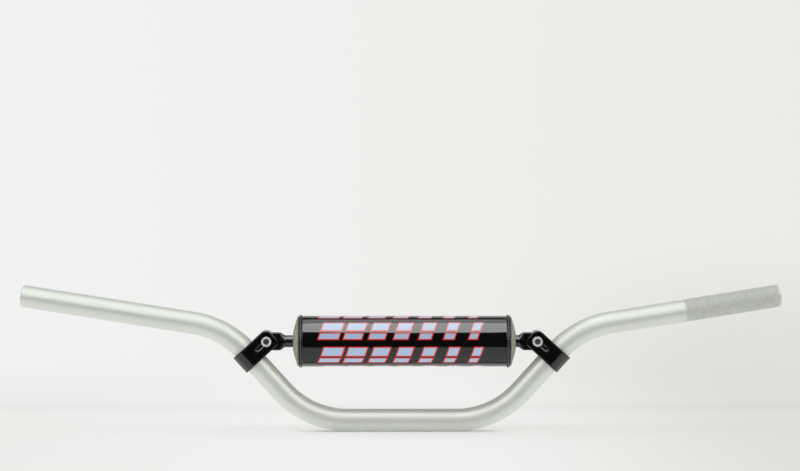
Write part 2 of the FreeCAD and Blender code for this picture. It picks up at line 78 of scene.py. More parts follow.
# tube, as in the CAD model
TUBE_RADIUS = 11.1 * MM
BORE_RADIUS = 7.0 * MM
OVERALL_WIDTH = 760.0 * MM
CENTRE_STRAIGHT = 107.4 * MM
BEND_RADIUS = 86.0 * MM
RISER_ANGLE = math.radians(47.6)
RISER_STRAIGHT = 53.5 * MM
GRIP_RISE = math.radians(8.5)
GRIP_SWEEP = math.radians(11.5)
END_ROUNDING = 1.2 * MM

# pad and closure: radii about the crossbar, lengths along it, angles from +Y towards +Z
PAD_CENTRE = middle("pad_cover")
PAD_CENTRE.y = 0.0
BOLT_CENTRE = middle("clutch_side_bolt")
BOLT_CENTRE.y = 0.0
FOAM_LENGTH = extent("pad_foam").x
FOAM_RADIUS = extent("pad_foam").z / 2
FOAM_BORE = 6.05 * MM
COVER_LENGTH = extent("pad_cover").x
COVER_INNER = 24.2 * MM
COVER_RADIUS = 25.2 * MM
LOOP_RADIUS = 26.1 * MM
HOOK_RADIUS = 27.3 * MM
STRIP_START = math.radians(-47.0)
STRIP_SPAN = math.radians(36.0)
STRIP_LENGTH = extent("loop_strip").x
FLAP_START = math.radians(-54.0)
FLAP_SPAN = math.radians(45.0)
FLAP_LENGTH = extent("cover_flap").x


# ---------------- node trees

def node(tree, kind, inputs=None, **settings):
    """A shader node. inputs maps its sockets to signals or sockets, which are linked, or to values."""
    item = tree.nodes.new("ShaderNode" + kind)
    for name, value in settings.items():
        setattr(item, name, value)
    for socket, value in (inputs or {}).items():
        value = getattr(value, "socket", value)
        if isinstance(value, bpy.types.NodeSocket):
            tree.links.new(value, item.inputs[socket])
        else:
            item.inputs[socket].default_value = value
    return item


class Signal:
    """A value in a node tree. Reckoning with it adds nodes."""

    def __init__(self, tree, socket):
        self.tree = tree
        self.socket = socket

    def calc(self, operation, *others):
        item = node(self.tree, "Math", dict(enumerate((self, *others))), operation=operation)
        return Signal(self.tree, item.outputs[0])

    def __add__(self, other):
        return self.calc("ADD", other)

    def __sub__(self, other):
        return self.calc("SUBTRACT", other)

    def __rsub__(self, other):
        item = node(self.tree, "Math", {0: other, 1: self}, operation="SUBTRACT")
        return Signal(self.tree, item.outputs[0])

    def __mul__(self, other):
        return self.calc("MULTIPLY", other)

    def __truediv__(self, other):
        return self.calc("DIVIDE", other)

    def __abs__(self):
        return self.calc("ABSOLUTE")

    def spread(self, low, high, to_low=0.0, to_high=1.0, smooth=False):
        """The range from low to high, brought to another range and held at its ends."""
        kind = "SMOOTHSTEP" if smooth else "LINEAR"
        item = node(self.tree, "MapRange", {"Value": self, "From Min": low, "From Max": high, "To Min": to_low,
                                            "To Max": to_high}, interpolation_type=kind)
        return Signal(self.tree, item.outputs["Result"])

    def between(self, first, second):
        """A value between two others: first where this is 0, second where it is 1."""
        return Signal(self.tree, node(self.tree, "Mix", {0: self, 2: first, 3: second}).outputs[0])

    def blend(self, first, second):
        """A color between two others, which are signals or plain colors."""
        first, second = (item if isinstance(item, Signal) else (*item, 1.0) for item in (first, second))
        item = node(self.tree, "Mix", {0: self, 6: first, 7: second}, data_type="RGBA")
        return Signal(self.tree, item.outputs[2])

    def parts(self):
        """The x, y and z of a place."""
        return [Signal(self.tree, part) for part in node(self.tree, "SeparateXYZ", {0: self}).outputs]

    def scaled(self, factor):
        item = node(self.tree, "VectorMath", {0: self, 3: factor}, operation="SCALE")
        return Signal(self.tree, item.outputs[0])


def place(tree, kind):
    return Signal(tree, node(tree, "TexCoord").outputs[kind])


def add_object(name, data):
    item = bpy.data.objects.new(name, data)
    bpy.context.scene.collection.objects.link(item)
    return item


# ---------------- camera, light and floor

SENSOR = 36.0
LENS = 159.62625
CAMERA_DISTANCE = 3.5
CAMERA_AZIMUTH = math.radians(-0.75)
CAMERA_ELEVATION = math.radians(1.0)
CAMERA_TARGET = Vector((-0.0018, 0.0, 0.1821))


def make_camera():
    data = bpy.data.cameras.new("camera")
    data.sensor_width = SENSOR
    data.lens = LENS
    data.clip_end = 100.0
    camera = add_object("camera", data)
    back = Vector((
        math.sin(CAMERA_AZIMUTH) * math.cos(CAMERA_ELEVATION),
        -math.cos(CAMERA_AZIMUTH) * math.cos(CAMERA_ELEVATION),
        math.sin(CAMERA_ELEVATION),
    ))
    camera.location = CAMERA_TARGET + back * CAMERA_DISTANCE
    camera.rotation_mode = "QUATERNION"
    camera.rotation_quaternion = (-back).to_track_quat("-Z", "Y")
    bpy.context.scene.camera = camera
    bpy.context.scene.view_settings.view_transform = "Standard"


# Studio light by angle about the X axis in degrees: 0 is towards the front, 90 straight up and
# -90 straight down. Each level holds from its angle to the next. The middle has a softbox over
# a dark room; off to both sides the light is more even. Matt surfaces get the soft bands.
MIDDLE_BANDS = [
    (-180, 1.0), (-122, 0.8), (-112, 0.50), (-100, 0.75), (-26, 0.03), (43, 5.2), (50, 4.6),
    (92, 1.8), (118, 0.15), (138, 1.0),
]
SIDE_BANDS = [
    (-180, 0.6), (-140, 1.5), (-26, 0.04), (18, 4.0), (58, 1.5), (92, 0.4), (138, 0.6),
]
SOFT_BANDS = [(-180, 1.0), (-26, 0.42), (43, 0.80), (118, 0.55)]
BAND_SOFTNESS = 3.0
MIDDLE_EDGE = (0.12, 0.32)
STUDIO_TINT = (0.985, 1.0, 0.99)
BACKGROUND_LEFT = (0.885, 0.885, 0.880)
BACKGROUND_RIGHT = (0.835, 0.832, 0.800)
BACKGROUND_TURN = (-0.10, 0.13)
LOW_FROM = (-0.015, -0.055)
LOW_TURN = (0.03, 0.11)
FLOOR_LEFT = (0.850, 0.853, 0.835)
FLOOR_MIDDLE = (0.885, 0.890, 0.880)
FLOOR_RIGHT = (0.735, 0.745, 0.705)


def band_curve(share, bands):
    """Light of a list of bands, looked up by an angle's share of the full turn."""
    top = max(level for _, level in bands)
    places = []
    for (start, level), (stop, _) in zip(bands, bands[1:] + [(180, 0)]):
        places.append(((start + BAND_SOFTNESS / 2 + 180) / 360, level / top))
        places.append(((stop - BAND_SOFTNESS / 2 + 180) / 360, level / top))
    places[0] = (0.0, places[0][1])
    places[-1] = (1.0, places[-1][1])
    ramp = node(share.tree, "FloatCurve", {"Value": share})
    curve = ramp.mapping.curves[0]
    curve.points[0].location = places[0]
    curve.points[1].location = places[-1]
    for point in places[1:-1]:
        curve.points.new(*point)
    for point in curve.points:
        point.handle_type = "VECTOR"
    ramp.mapping.update()
    return Signal(share.tree, ramp.outputs["Value"]) * top


def make_world():
    world = bpy.data.worlds.new("studio")
    bpy.context.scene.world = world
    world.use_nodes = True
    world.cycles.sampling_method = "NONE"
    tree = world.node_tree
    tree.nodes.clear()
    x, y, z = place(tree, "Generated").parts()
    share = z.calc("ARCTAN2", y * -1.0).spread(-math.pi, math.pi)
    off_middle = abs(x).spread(*MIDDLE_EDGE, smooth=True)
    mirrored = off_middle.between(band_curve(share, MIDDLE_BANDS), band_curve(share, SIDE_BANDS))
    paths = node(tree, "LightPath").outputs
    level = Signal(tree, paths["Is Diffuse Ray"]).between(mirrored, band_curve(share, SOFT_BANDS))
    studio = node(tree, "Background", {"Color": (*STUDIO_TINT, 1.0), "Strength": level})
    paper = x.spread(*BACKGROUND_TURN, smooth=True).blend(BACKGROUND_LEFT, BACKGROUND_RIGHT)
    low = z.spread(*LOW_FROM, smooth=True) * x.spread(*LOW_TURN, smooth=True)
    seen = node(tree, "Background", {"Color": low.blend(paper, FLOOR_RIGHT)})
    mix = node(tree, "MixShader", {0: paths["Is Camera Ray"], 1: studio.outputs[0], 2: seen.outputs[0]})
    node(tree, "OutputWorld", {"Surface": mix.outputs[0]})


FLOOR_RADIUS = 1.6
FLOOR_GLOW = 0.415
FLOOR_ALBEDO = 0.85
CONTACT_SHADE = 0.014
FOLD_DISTANCE = 0.36
FOLD_WIDTH = 0.10
FOLD_SHADE = 0.955


def make_floor():
    """A pale disc under the bar that fades out before its edge, with a faint fold behind the bar."""
    mesh = bpy.data.meshes.new("floor")
    form = bmesh.new()
    bmesh.ops.create_circle(form, cap_ends=True, segments=96, radius=FLOOR_RADIUS)
    form.to_mesh(mesh)
    form.free()
    floor = add_object("floor", mesh)
    floor.location = (0.0, 0.0, -TUBE_RADIUS)
    material = bpy.data.materials.new("pale_floor")
    material.use_nodes = True
    tree = material.node_tree
    tree.nodes.clear()
    where = place(tree, "Object")
    x, y, _ = where.parts()
    length = Signal(tree, node(tree, "VectorMath", {0: where}, operation="LENGTH").outputs["Value"])
    fade = length.spread(0.35 * FLOOR_RADIUS, 0.95 * FLOOR_RADIUS, 1.0, 0.0, smooth=True)
    fold = abs(y - FOLD_DISTANCE).spread(0.0, FOLD_WIDTH, FOLD_SHADE, 1.0, smooth=True)
    left = x.spread(-0.05, -0.42, smooth=True).blend(FLOOR_MIDDLE, FLOOR_LEFT)
    paper = x.spread(0.02, 0.42, smooth=True).blend(left, FLOOR_RIGHT).scaled(fold)
    contact = node(tree, "AmbientOcclusion", {"Distance": CONTACT_SHADE}, samples=8).outputs["AO"]
    glow = node(tree, "Emission", {"Color": paper, "Strength": Signal(tree, contact) * FLOOR_GLOW})
    lit = node(tree, "BsdfDiffuse", {"Color": paper.scaled(FLOOR_ALBEDO)})
    both = node(tree, "AddShader", {0: glow.outputs[0], 1: lit.outputs[0]})
    clear = node(tree, "BsdfTransparent")
    mix = node(tree, "MixShader", {0: fade, 1: clear.outputs[0], 2: both.outputs[0]})
    node(tree, "OutputMaterial", {"Surface": mix.outputs[0]})
    mesh.materials.append(material)
    floor.visible_glossy = False


# ---------------- meshes

def grid_faces(rows, columns, closed_columns=False, closed_rows=False, start=0):
    """Quads of a grid of vertices stored row by row."""
    faces = []
    for i in range(rows if closed_rows else rows - 1):
        for j in range(columns if closed_columns else columns - 1):
            a = start + i * columns + j
            b = start + i * columns + (j + 1) % columns
            c = start + (i + 1) % rows * columns + (j + 1) % columns
            d = start + (i + 1) % rows * columns + j
            faces.append((a, b, c, d))
    return faces


def face_outward(mesh, weld=False):
    """Turn a closed mesh's faces outward, and join the vertices that lie on each other."""
    form = bmesh.new()
    form.from_mesh(mesh)
    if weld:
        bmesh.ops.remove_doubles(form, verts=form.verts, dist=1e-7)
    bmesh.ops.recalc_face_normals(form, faces=form.faces)
    form.to_mesh(mesh)
    form.free()


def add_piece(name, vertices, faces, materials, body, replaces=(), uvs=None, uv_period=None, kinds=None,
              sharp=None):
    """A mesh piece that rides on a body. uvs holds one pair for each vertex.

    uv_period is the length about which the second coordinate closes on itself, kinds the place
    in a list of materials for each face, and sharp the angle in degrees above which an edge
    isn't shaded smooth."""
    mesh = bpy.data.meshes.new(name)
    mesh.from_pydata(np.asarray(vertices).tolist(), [], faces)
    if kinds is not None:
        mesh.polygons.foreach_set("material_index", kinds)
    if uvs is not None:
        layer = mesh.uv_layers.new(name="UVMap")
        uvs = np.asarray(uvs, float)
        corners = []
        for face in faces:
            pairs = uvs[list(face)]
            if uv_period and np.ptp(pairs[:, 1]) > uv_period / 2:
                pairs = pairs.copy()
                pairs[pairs[:, 1] < uv_period / 2, 1] += uv_period
            corners.append(pairs)
        layer.data.foreach_set("uv", np.concatenate(corners).astype(np.float32).ravel())
    face_outward(mesh, weld=True)
    mesh.shade_smooth()
    if sharp:
        mesh.set_sharp_from_angle(angle=math.radians(sharp))
    for item in materials if isinstance(materials, (list, tuple)) else [materials]:
        mesh.materials.append(item)
    piece = add_object(name, mesh)
    if body:
        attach(piece, body)
    if replaces:
        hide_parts(*replaces)
    return piece


class Spot:
    """An axis to turn pieces about: its origin, its direction and where angle 0 lies."""

    def __init__(self, origin, axis, zero):
        self.origin = np.array(origin, float)
        self.axis = np.array(axis, float)
        self.zero = np.array(zero, float)
        self.quarter = np.cross(self.axis, self.zero)

    def ring(self, height, radius, turn):
        reach = np.broadcast_to(radius, turn.shape)
        spokes = np.outer(reach * np.cos(turn), self.zero) + np.outer(reach * np.sin(turn), self.quarter)
        return self.origin + self.axis * height + spokes

    def point(self, height, radius, angle):
        return self.ring(height, radius, np.array([angle]))[0]


def full_turn(count):
    return np.arange(count) * 2 * math.pi / count


def spun(spot, profile, turn, closed=False):
    """Vertices and faces of rings about a spot. profile holds pairs of height and radius."""
    vertices = np.concatenate([spot.ring(height, radius, turn) for height, radius in profile])
    count = len(turn)
    faces = grid_faces(len(profile), count, closed_columns=True, closed_rows=closed)
    if not closed:
        faces.append(tuple(range(count)))
        faces.append(tuple(range(len(vertices) - count, len(vertices))))
    return vertices, faces


def rounded(height, radius, size, start, stop, steps=4):
    """Profile points of a corner rounded by size; angles in degrees, from the axis' direction."""
    points = []
    for step in range(steps + 1):
        angle = math.radians(start + (stop - start) * step / steps)
        points.append((height + size * math.cos(angle), radius + size * math.sin(angle)))
    return points


PAD = Spot(PAD_CENTRE, (1, 0, 0), (0, 1, 0))


def ripple(x, y, z=0.0, size=1.0):
    """Smooth noise from -1 to 1 that is the same on every run."""
    return noise.noise(Vector((x / size, y / size, z / size)))


# ---------------- materials

STRIPE_SCALE = 0.16
NEAR_BLACK = (0.003, 0.003, 0.003)
ANODISED_COLOR = (0.730, 0.752, 0.692)


def tinted(color, factor):
    return tuple(part * factor for part in color)


class Finish:
    """A material on its way: its shader, and the places in space and on the cloth or skin."""

    def __init__(self, name, color, roughness, metallic=0.0, specular=0.5):
        self.material = bpy.data.materials.new(name)
        self.material.use_nodes = True
        self.tree = self.material.node_tree
        self.shader = self.tree.nodes["Principled BSDF"]
        self.set("Base Color", (*color, 1.0))
        self.set("Roughness", roughness)
        self.set("Metallic", metallic)
        self.set("Specular IOR Level", specular)
        self.space = place(self.tree, "Object")
        self.skin = place(self.tree, "UV")

    def set(self, name, value):
        if isinstance(value, Signal):
            self.tree.links.new(value.socket, self.shader.inputs[name])
        else:
            self.shader.inputs[name].default_value = value

    def mapped(self, where, **settings):
        return Signal(self.tree, node(self.tree, "Mapping", {"Vector": where, **settings}).outputs[0])

    def noise(self, size, detail=3.0, where=None):
        """Noise from 0 to 1 whose blobs are about size metres across."""
        inputs = {"Vector": where or self.space, "Scale": 1.0 / size, "Detail": detail}
        return Signal(self.tree, node(self.tree, "TexNoise", inputs).outputs["Fac"])

    def stripes(self, where, scale, direction, distortion=0.0, **extra):
        """Waves from 0 to 1 along a direction."""
        inputs = {"Vector": where, "Scale": scale, "Distortion": distortion, **extra}
        return Signal(self.tree, node(self.tree, "TexWave", inputs, bands_direction=direction).outputs["Fac"])

    def bump(self, height, depth, normal=None):
        """Raise the surface by depth metres where height is 1. The finished material comes back."""
        inputs = {"Height": height, "Distance": depth, "Strength": 1.0}
        if normal:
            inputs["Normal"] = normal
        self.set("Normal", Signal(self.tree, node(self.tree, "Bump", inputs).outputs[0]))
        return self.material


def satin_anodised(name, roughness, metallic, speckle=0.0):
    """Blasted and clear anodised: fine grain, faint draw lines along the tube."""
    finish = Finish(name, ANODISED_COLOR, roughness, metallic)
    grain = finish.noise(0.35 * MM, 2.0)
    lines = finish.noise(0.5 * MM, 4.0, finish.mapped(finish.skin, Scale=(0.03, 1.0, 1.0)))
    patches = finish.noise(26 * MM, 2.0)
    tone = (grain * 0.35 + lines * 0.65).spread(0.3, 0.7)
    ground = tone.blend(tinted(ANODISED_COLOR, 0.94), tinted(ANODISED_COLOR, 1.05))
    if speckle:
        pits = finish.noise(0.9 * MM, 2.0).spread(0.36, 0.62)
        ground = pits.blend(tinted(ANODISED_COLOR, 1 - speckle), ground)
    finish.set("Base Color", ground)
    finish.set("Roughness", patches * 0.08 + grain * 0.10 + (roughness - 0.09))
    return finish.bump(grain + lines * 0.6, 0.009 * MM)


def turned_bore():
    """Bare bore of the tube, with fine turning marks."""
    finish = Finish("drawn_bore", (0.42, 0.42, 0.41), 0.42, 0.9)
    marks = finish.noise(0.4 * MM, 3.0, finish.mapped(finish.skin, Scale=(1.0, 0.05, 1.0)))
    finish.set("Base Color", marks.blend((0.30, 0.30, 0.29), (0.52, 0.52, 0.51)))
    return finish.bump(marks, 0.02 * MM)


def black_anodised():
    """Machined and black anodised: cutter lines, softened edges, faint handling marks."""
    finish = Finish("black_anodised_aluminium", NEAR_BLACK, 0.14, 0.0, 0.42)
    across = finish.mapped(finish.space, Rotation=(0.0, RISER_ANGLE, 0.0))
    cutter = finish.stripes(across, 1.0 / (2.4 * MM), "Z", 0.6, **{"Detail": 2.0, "Detail Scale": 2.0})
    smears = finish.noise(3.0 * MM, 4.0)
    finish.set("Roughness", smears.spread(0.3, 0.75, 0.09, 0.20))
    finish.set("Base Color", smears.blend((0.0020, 0.0021, 0.0023), (0.0036, 0.0038, 0.0040)))
    edges = node(finish.tree, "Bevel", {"Radius": 0.25 * MM}, samples=4).outputs[0]
    return finish.bump(cutter * 0.5 + smears, 0.006 * MM, edges)


def forged_black():
    """Forged, tumbled and black anodised: gently uneven and glossier than the clamps."""
    finish = Finish("black_crossbar_aluminium", NEAR_BLACK, 0.14, 0.0, 0.8)
    dimples = finish.noise(2.2 * MM)
    fine = finish.noise(0.3 * MM, 2.0)
    finish.set("Roughness", dimples.spread(0.3, 0.7, 0.10, 0.24))
    finish.set("Base Color", fine.blend((0.0020, 0.0020, 0.0024), (0.0036, 0.0036, 0.0040)))
    return finish.bump(dimples + fine * 0.15, 0.05 * MM)


def bright_metal(name, color, roughness, metallic, scratch=0.01 * MM):
    """Plated or bare steel with a light, uneven brush."""
    finish = Finish(name, color, roughness, metallic)
    lines = finish.noise(0.25 * MM, 3.0, finish.mapped(finish.space, Scale=(1.0, 0.12, 1.0)))
    stains = finish.noise(2.0 * MM)
    finish.set("Roughness", stains.spread(0.3, 0.7, roughness - 0.07, roughness + 0.09))
    finish.set("Base Color", stains.spread(0.35, 0.6).blend(tinted(color, 0.86), color))
    return finish.bump(lines, scratch)


def nylon():
    finish = Finish("white_nylon", (0.78, 0.79, 0.76), 0.42)
    finish.set("Subsurface Weight", 0.15)
    mottle = finish.noise(0.6 * MM)
    finish.set("Base Color", mottle.blend((0.70, 0.71, 0.67), (0.82, 0.83, 0.80)))
    return finish.bump(mottle, 0.03 * MM)


def beige_foam():
    """Fine-celled foam: small pits, slightly darker where the cells are open, a few flecks."""
    finish = Finish("beige_foam", (0.32, 0.31, 0.22), 0.95, 0.0, 0.2)
    finish.set("Sheen Weight", 0.15)
    pattern = node(finish.tree, "TexVoronoi", {"Vector": finish.space, "Scale": 1.0 / (0.75 * MM)},
                   feature="SMOOTH_F1")
    cells = Signal(finish.tree, pattern.outputs["Distance"])
    coarse = finish.noise(3.5 * MM)
    body = cells.spread(0.1, 0.7, 1.0, 0.0).blend((0.46, 0.45, 0.335), (0.32, 0.315, 0.23))
    warm = coarse.spread(0.35, 0.7).blend(body, (0.50, 0.485, 0.36))
    flecks = finish.noise(1.8 * MM, 2.0).spread(0.61, 0.65)
    finish.set("Base Color", flecks.blend(warm, (0.10, 0.098, 0.072)))
    return finish.bump(cells + coarse * 1.2, 0.22 * MM)


# printed rows: slanted bars in pairs, shrinking along the row; lengths in millimetres
ROW_PITCH = math.radians(60.0)
ROW_ANGLE = math.radians(152.3)
ROW_HEIGHT = 19.8
ROW_START = -86.0
BLOCK_PITCH = 24.6
BLOCK_COUNT = 7
BLOCK_WIDTH = 21.6
BLOCK_SHRINK = 1.9
SLANT = 0.32
SPLIT_HEIGHT = 1.6
SPLIT_GAP = 1.5
OUTLINE = 1.15
PRINT_EDGE = 0.08
PRINT_BLUE = (0.57, 0.73, 1.0)
PRINT_RED = (0.98, 0.045, 0.030)


def printed_blocks(along, around):
    """Shares of print and of its blue fill, from places in millimetres along and around the cover."""
    pitch = ROW_PITCH * COVER_RADIUS / MM
    turns = (around - ROW_ANGLE * COVER_RADIUS / MM) / pitch
    down = (turns - turns.calc("ROUND")) * pitch
    slid = down.calc("MULTIPLY_ADD", SLANT, along) - (ROW_START + ROW_HEIGHT * SLANT / 2)
    blocks = slid / BLOCK_PITCH
    index = blocks.calc("FLOOR")
    within = (blocks - index) * BLOCK_PITCH
    width = index.calc("MULTIPLY_ADD", -BLOCK_SHRINK, BLOCK_WIDTH)
    to_side = within.calc("MINIMUM", width - within) * math.cos(math.atan(SLANT))
    to_edge = ROW_HEIGHT / 2 - abs(down)
    to_split = abs(down - SPLIT_HEIGHT) - SPLIT_GAP / 2
    inside = to_side.calc("MINIMUM", to_edge).calc("MINIMUM", to_split)
    here = blocks.calc("GREATER_THAN", 0.0) * blocks.calc("LESS_THAN", float(BLOCK_COUNT))
    printed = inside.spread(-PRINT_EDGE, PRINT_EDGE) * here
    filled = inside.spread(OUTLINE - PRINT_EDGE, OUTLINE + PRINT_EDGE) * here
    return printed, filled


def black_vinyl(name, printed, specular=0.72, roughness=0.10):
    """Glossy coated fabric: nearly mirror-smooth, with a trace of the weave under the coat."""
    finish = Finish(name, NEAR_BLACK, roughness, 0.0, specular)
    weave = finish.stripes(finish.skin, 1.0 / (7.0 * MM), "Y")
    wrinkles = finish.noise(9 * MM, 2.0)
    pores = finish.noise(0.5 * MM, 2.0)
    finish.set("Roughness", pores.spread(0.3, 0.8, roughness - 0.04, roughness + 0.04))
    ground = pores.blend((0.0018, 0.0018, 0.0022), (0.0032, 0.0032, 0.0038))
    if printed:
        along, around, _ = finish.skin.parts()
        marked, filled = printed_blocks(along * (1.0 / MM), around * (1.0 / MM))
        blue = finish.noise(6 * MM, 2.0).blend(PRINT_BLUE, tinted(PRINT_BLUE, 0.94))
        ground = marked.blend(ground, filled.blend(PRINT_RED, blue))
    finish.set("Base Color", ground)
    return finish.bump(weave * 0.05 + wrinkles, 0.05 * MM)


def woven(name, color, pitch, depth, roughness, sheen):
    """Narrow woven tape: two crossed ribs with loose fibres."""
    finish = Finish(name, color, roughness, 0.0, 0.3)
    finish.set("Sheen Weight", sheen)
    warp, weft = (finish.stripes(finish.skin, STRIPE_SCALE / pitch, way, 0.4) for way in "XY")
    height = warp * weft + finish.noise(0.2 * MM) * 0.5
    finish.set("Base Color", height.spread(0.2, 1.1).blend(color, tinted(color, 1.9)))
    return finish.bump(height, depth)


def thread_material():
    """Twisted black thread with a slight sheen. Its base colour is painted grey, lightest along the twist, as the
    thread's glints.
    """
    finish = Finish("black_thread", (0.018, 0.018, 0.020), 0.38, 0.0, 0.6)
    finish.set("Sheen Weight", 0.5)
    twist_and_painted_glint = finish.stripes(finish.skin, STRIPE_SCALE / (0.35 * MM), "DIAGONAL")
    # painted glints: the black thread's colour is raised to grey, lighter along the twist
    finish.set("Base Color", twist_and_painted_glint.blend((0.15, 0.15, 0.153), (0.36, 0.36, 0.365)))
    return finish.bump(twist_and_painted_glint, 0.06 * MM)


# ---------------- tube

RING_POINTS = 192
BEND_RINGS = 44
STRAIGHT_STEP = 6 * MM
KNURL_LENGTH = 100.0 * MM
KNURL_PITCHES = 48
KNURL_DEPTH = 0.26 * MM
KNURL_CREST = 0.10 * MM
KNURL_RUNOUT = 0.8 * MM
KNURL_STOP = 2.0 * MM
BORE_EDGE = 0.35 * MM
BORE_REACH = 4.0 * MM


def unit(vector):
    vector = np.asarray(vector, float)
    return vector / np.linalg.norm(vector)


def side_stations():
    """Centreline of the +X half up to its grip: points, directions, up vectors and arc lengths."""
    riser = np.array([math.cos(RISER_ANGLE), 0.0, math.sin(RISER_ANGLE)])
    grip = unit([1.0, math.tan(GRIP_SWEEP), math.tan(GRIP_RISE)])
    stations = [(np.zeros(3), np.array([1.0, 0.0, 0.0]), np.array([0.0, 0.0, 1.0]), 0.0)]

    def straight(length):
        start, direction, up, travelled = stations[-1]
        count = max(1, round(length / STRAIGHT_STEP))
        for step in range(1, count + 1):
            along = length * step / count
            stations.append((start + direction * along, direction, up, travelled + along))

    def turn(outgoing):
        start, incoming, up, travelled = stations[-1]
        angle = math.acos(float(incoming @ outgoing))
        inward = unit(outgoing - incoming * (incoming @ outgoing))
        axis = Vector(np.cross(incoming, inward))
        for step in range(1, BEND_RINGS + 1):
            part = angle * step / BEND_RINGS
            spin = np.array(Matrix.Rotation(part, 3, axis))
            forward = incoming * BEND_RADIUS * math.sin(part)
            inside = inward * BEND_RADIUS * (1 - math.cos(part))
            stations.append((start + forward + inside, spin @ incoming, spin @ up, travelled + BEND_RADIUS * part))

    straight(CENTRE_STRAIGHT / 2)
    turn(riser)
    straight(RISER_STRAIGHT)
    turn(grip)
    rim = TUBE_RADIUS * math.sqrt(1 - grip[0] ** 2)
    grip_length = (OVERALL_WIDTH / 2 - rim - stations[-1][0][0]) / grip[0]
    return stations, grip_length


def knurl_height(along, around):
    """Height of crossed helical grooves: along and around count pitches."""
    def groove(value):
        return abs(2.0 * (value - np.floor(value + 0.5)))
    return KNURL_CREST - KNURL_DEPTH * (1.0 - np.minimum(groove(along + around), groove(along - around)))


def grip_profile(grip_length, knurled, pitch):
    """Distances along the grip, radii and knurl phases, out to the end and back inside the bore."""
    knurl_start = grip_length - KNURL_LENGTH
    profile = [(along, TUBE_RADIUS, None) for along in np.linspace(0, knurl_start - KNURL_RUNOUT, 14)[1:]]
    if knurled:
        count = int((KNURL_LENGTH - KNURL_STOP) / (pitch / 4))
        profile += [(knurl_start + k * pitch / 4, TUBE_RADIUS, k / 4) for k in range(count + 1)]
    else:
        plain = np.linspace(knurl_start, grip_length - KNURL_STOP, 10)
        profile += [(along, TUBE_RADIUS, None) for along in plain]
    rim = rounded(grip_length - END_ROUNDING, TUBE_RADIUS - END_ROUNDING, END_ROUNDING, 90, 0, 6)
    profile += [(along, radius, None) for along, radius in rim]
    profile.append((grip_length, BORE_RADIUS + BORE_EDGE, None))
    profile.append((grip_length - BORE_EDGE, BORE_RADIUS, None))
    profile += [(along, BORE_RADIUS, None) for along in np.linspace(grip_length - BORE_REACH, 0, 16)]
    return profile


def make_tube(*finishes):
    """The tube from its stations. finishes are for the plain outside, the knurl and the bore."""
    stations, grip_length = side_stations()
    pitch = 2 * math.pi * TUBE_RADIUS / KNURL_PITCHES
    turn = full_turn(RING_POINTS)
    last_point, direction, up, travelled = stations[-1]
    vertices, uvs, faces, kinds = [], [], [], []
    for side in (-1, 1):
        mirror = np.array([side, 1.0, 1.0])
        rings = [(point, heading, lift, along, TUBE_RADIUS, None) for point, heading, lift, along in stations]
        for past, radius, phase in grip_profile(grip_length, side == 1, pitch):
            rings.append((last_point + direction * past, direction, up, travelled + past, radius, phase))
        rings += [(point, heading, lift, along, BORE_RADIUS, None)
                  for point, heading, lift, along in reversed(stations[:-1])]
        start = len(vertices) * RING_POINTS
        for point, heading, lift, along, radius, phase in rings:
            sideways = np.cross(heading, lift)
            reach = np.full(RING_POINTS, radius)
            if phase is not None:
                reach = reach + min(1.0, phase) * knurl_height(phase, turn * TUBE_RADIUS / pitch)
            spokes = np.outer(reach * np.cos(turn), lift) + np.outer(reach * np.sin(turn), sideways)
            vertices.append((point + spokes) * mirror)
            uvs.append(np.column_stack([np.full(RING_POINTS, side * along), turn * TUBE_RADIUS]))
        faces += grid_faces(len(rings), RING_POINTS, closed_columns=True, start=start)
        for first, second in zip(rings, rings[1:]):
            knurled = first[5] is not None and second[5] is not None
            inner = max(first[4], second[4]) <= BORE_RADIUS + BORE_EDGE
            kinds += [2 if inner else int(knurled)] * RING_POINTS
    return add_piece("tube", np.concatenate(vertices), faces, finishes, "bar",
                     ["handlebar_tube"], np.concatenate(uvs), 2 * math.pi * TUBE_RADIUS, kinds)


# ---------------- fasteners

BOLT_POINTS = 144
HEAD_RADIUS = 5.1 * MM
HEAD_HEIGHT = 6.0 * MM
HEAD_EDGE = 0.6 * MM
HEAD_GROOVES = 36
HEAD_GROOVE_DEPTH = 0.16 * MM
KEY_FLATS = 5.0 * MM
KEY_DEPTH = 3.0 * MM
KEY_CONE = 0.9 * MM
THREAD_RADIUS = 2.95 * MM
THREAD_DEPTH = 0.32 * MM
THREAD_PITCH = 1.0 * MM
THREAD_LENGTH = 16.0 * MM
TIP_CHAMFER = 0.7 * MM
NUT_FLATS = 10.0 * MM
NUT_HEX_HEIGHT = 4.2 * MM
NUT_HEIGHT = 6.0 * MM
NUT_BORE = 3.0 * MM
NUT_COLLAR = 4.45 * MM
INSERT_RADIUS = 4.05 * MM
INSERT_LENGTH = 1.6 * MM


def bolt_spot(side):
    """Where a crossbar bolt lies. Angle 0 points across the riser, as the flats of the nut do."""
    across = (side * math.sin(RISER_ANGLE), 0, -math.cos(RISER_ANGLE))
    return Spot((side * abs(BOLT_CENTRE.x), 0, BOLT_CENTRE.z), (0, 1, 0), across)


def hexagon(turn, flats):
    """Radii of a hexagon with a corner at angle 0."""
    return flats / 2 / np.cos(turn % (math.pi / 3) - math.pi / 6)


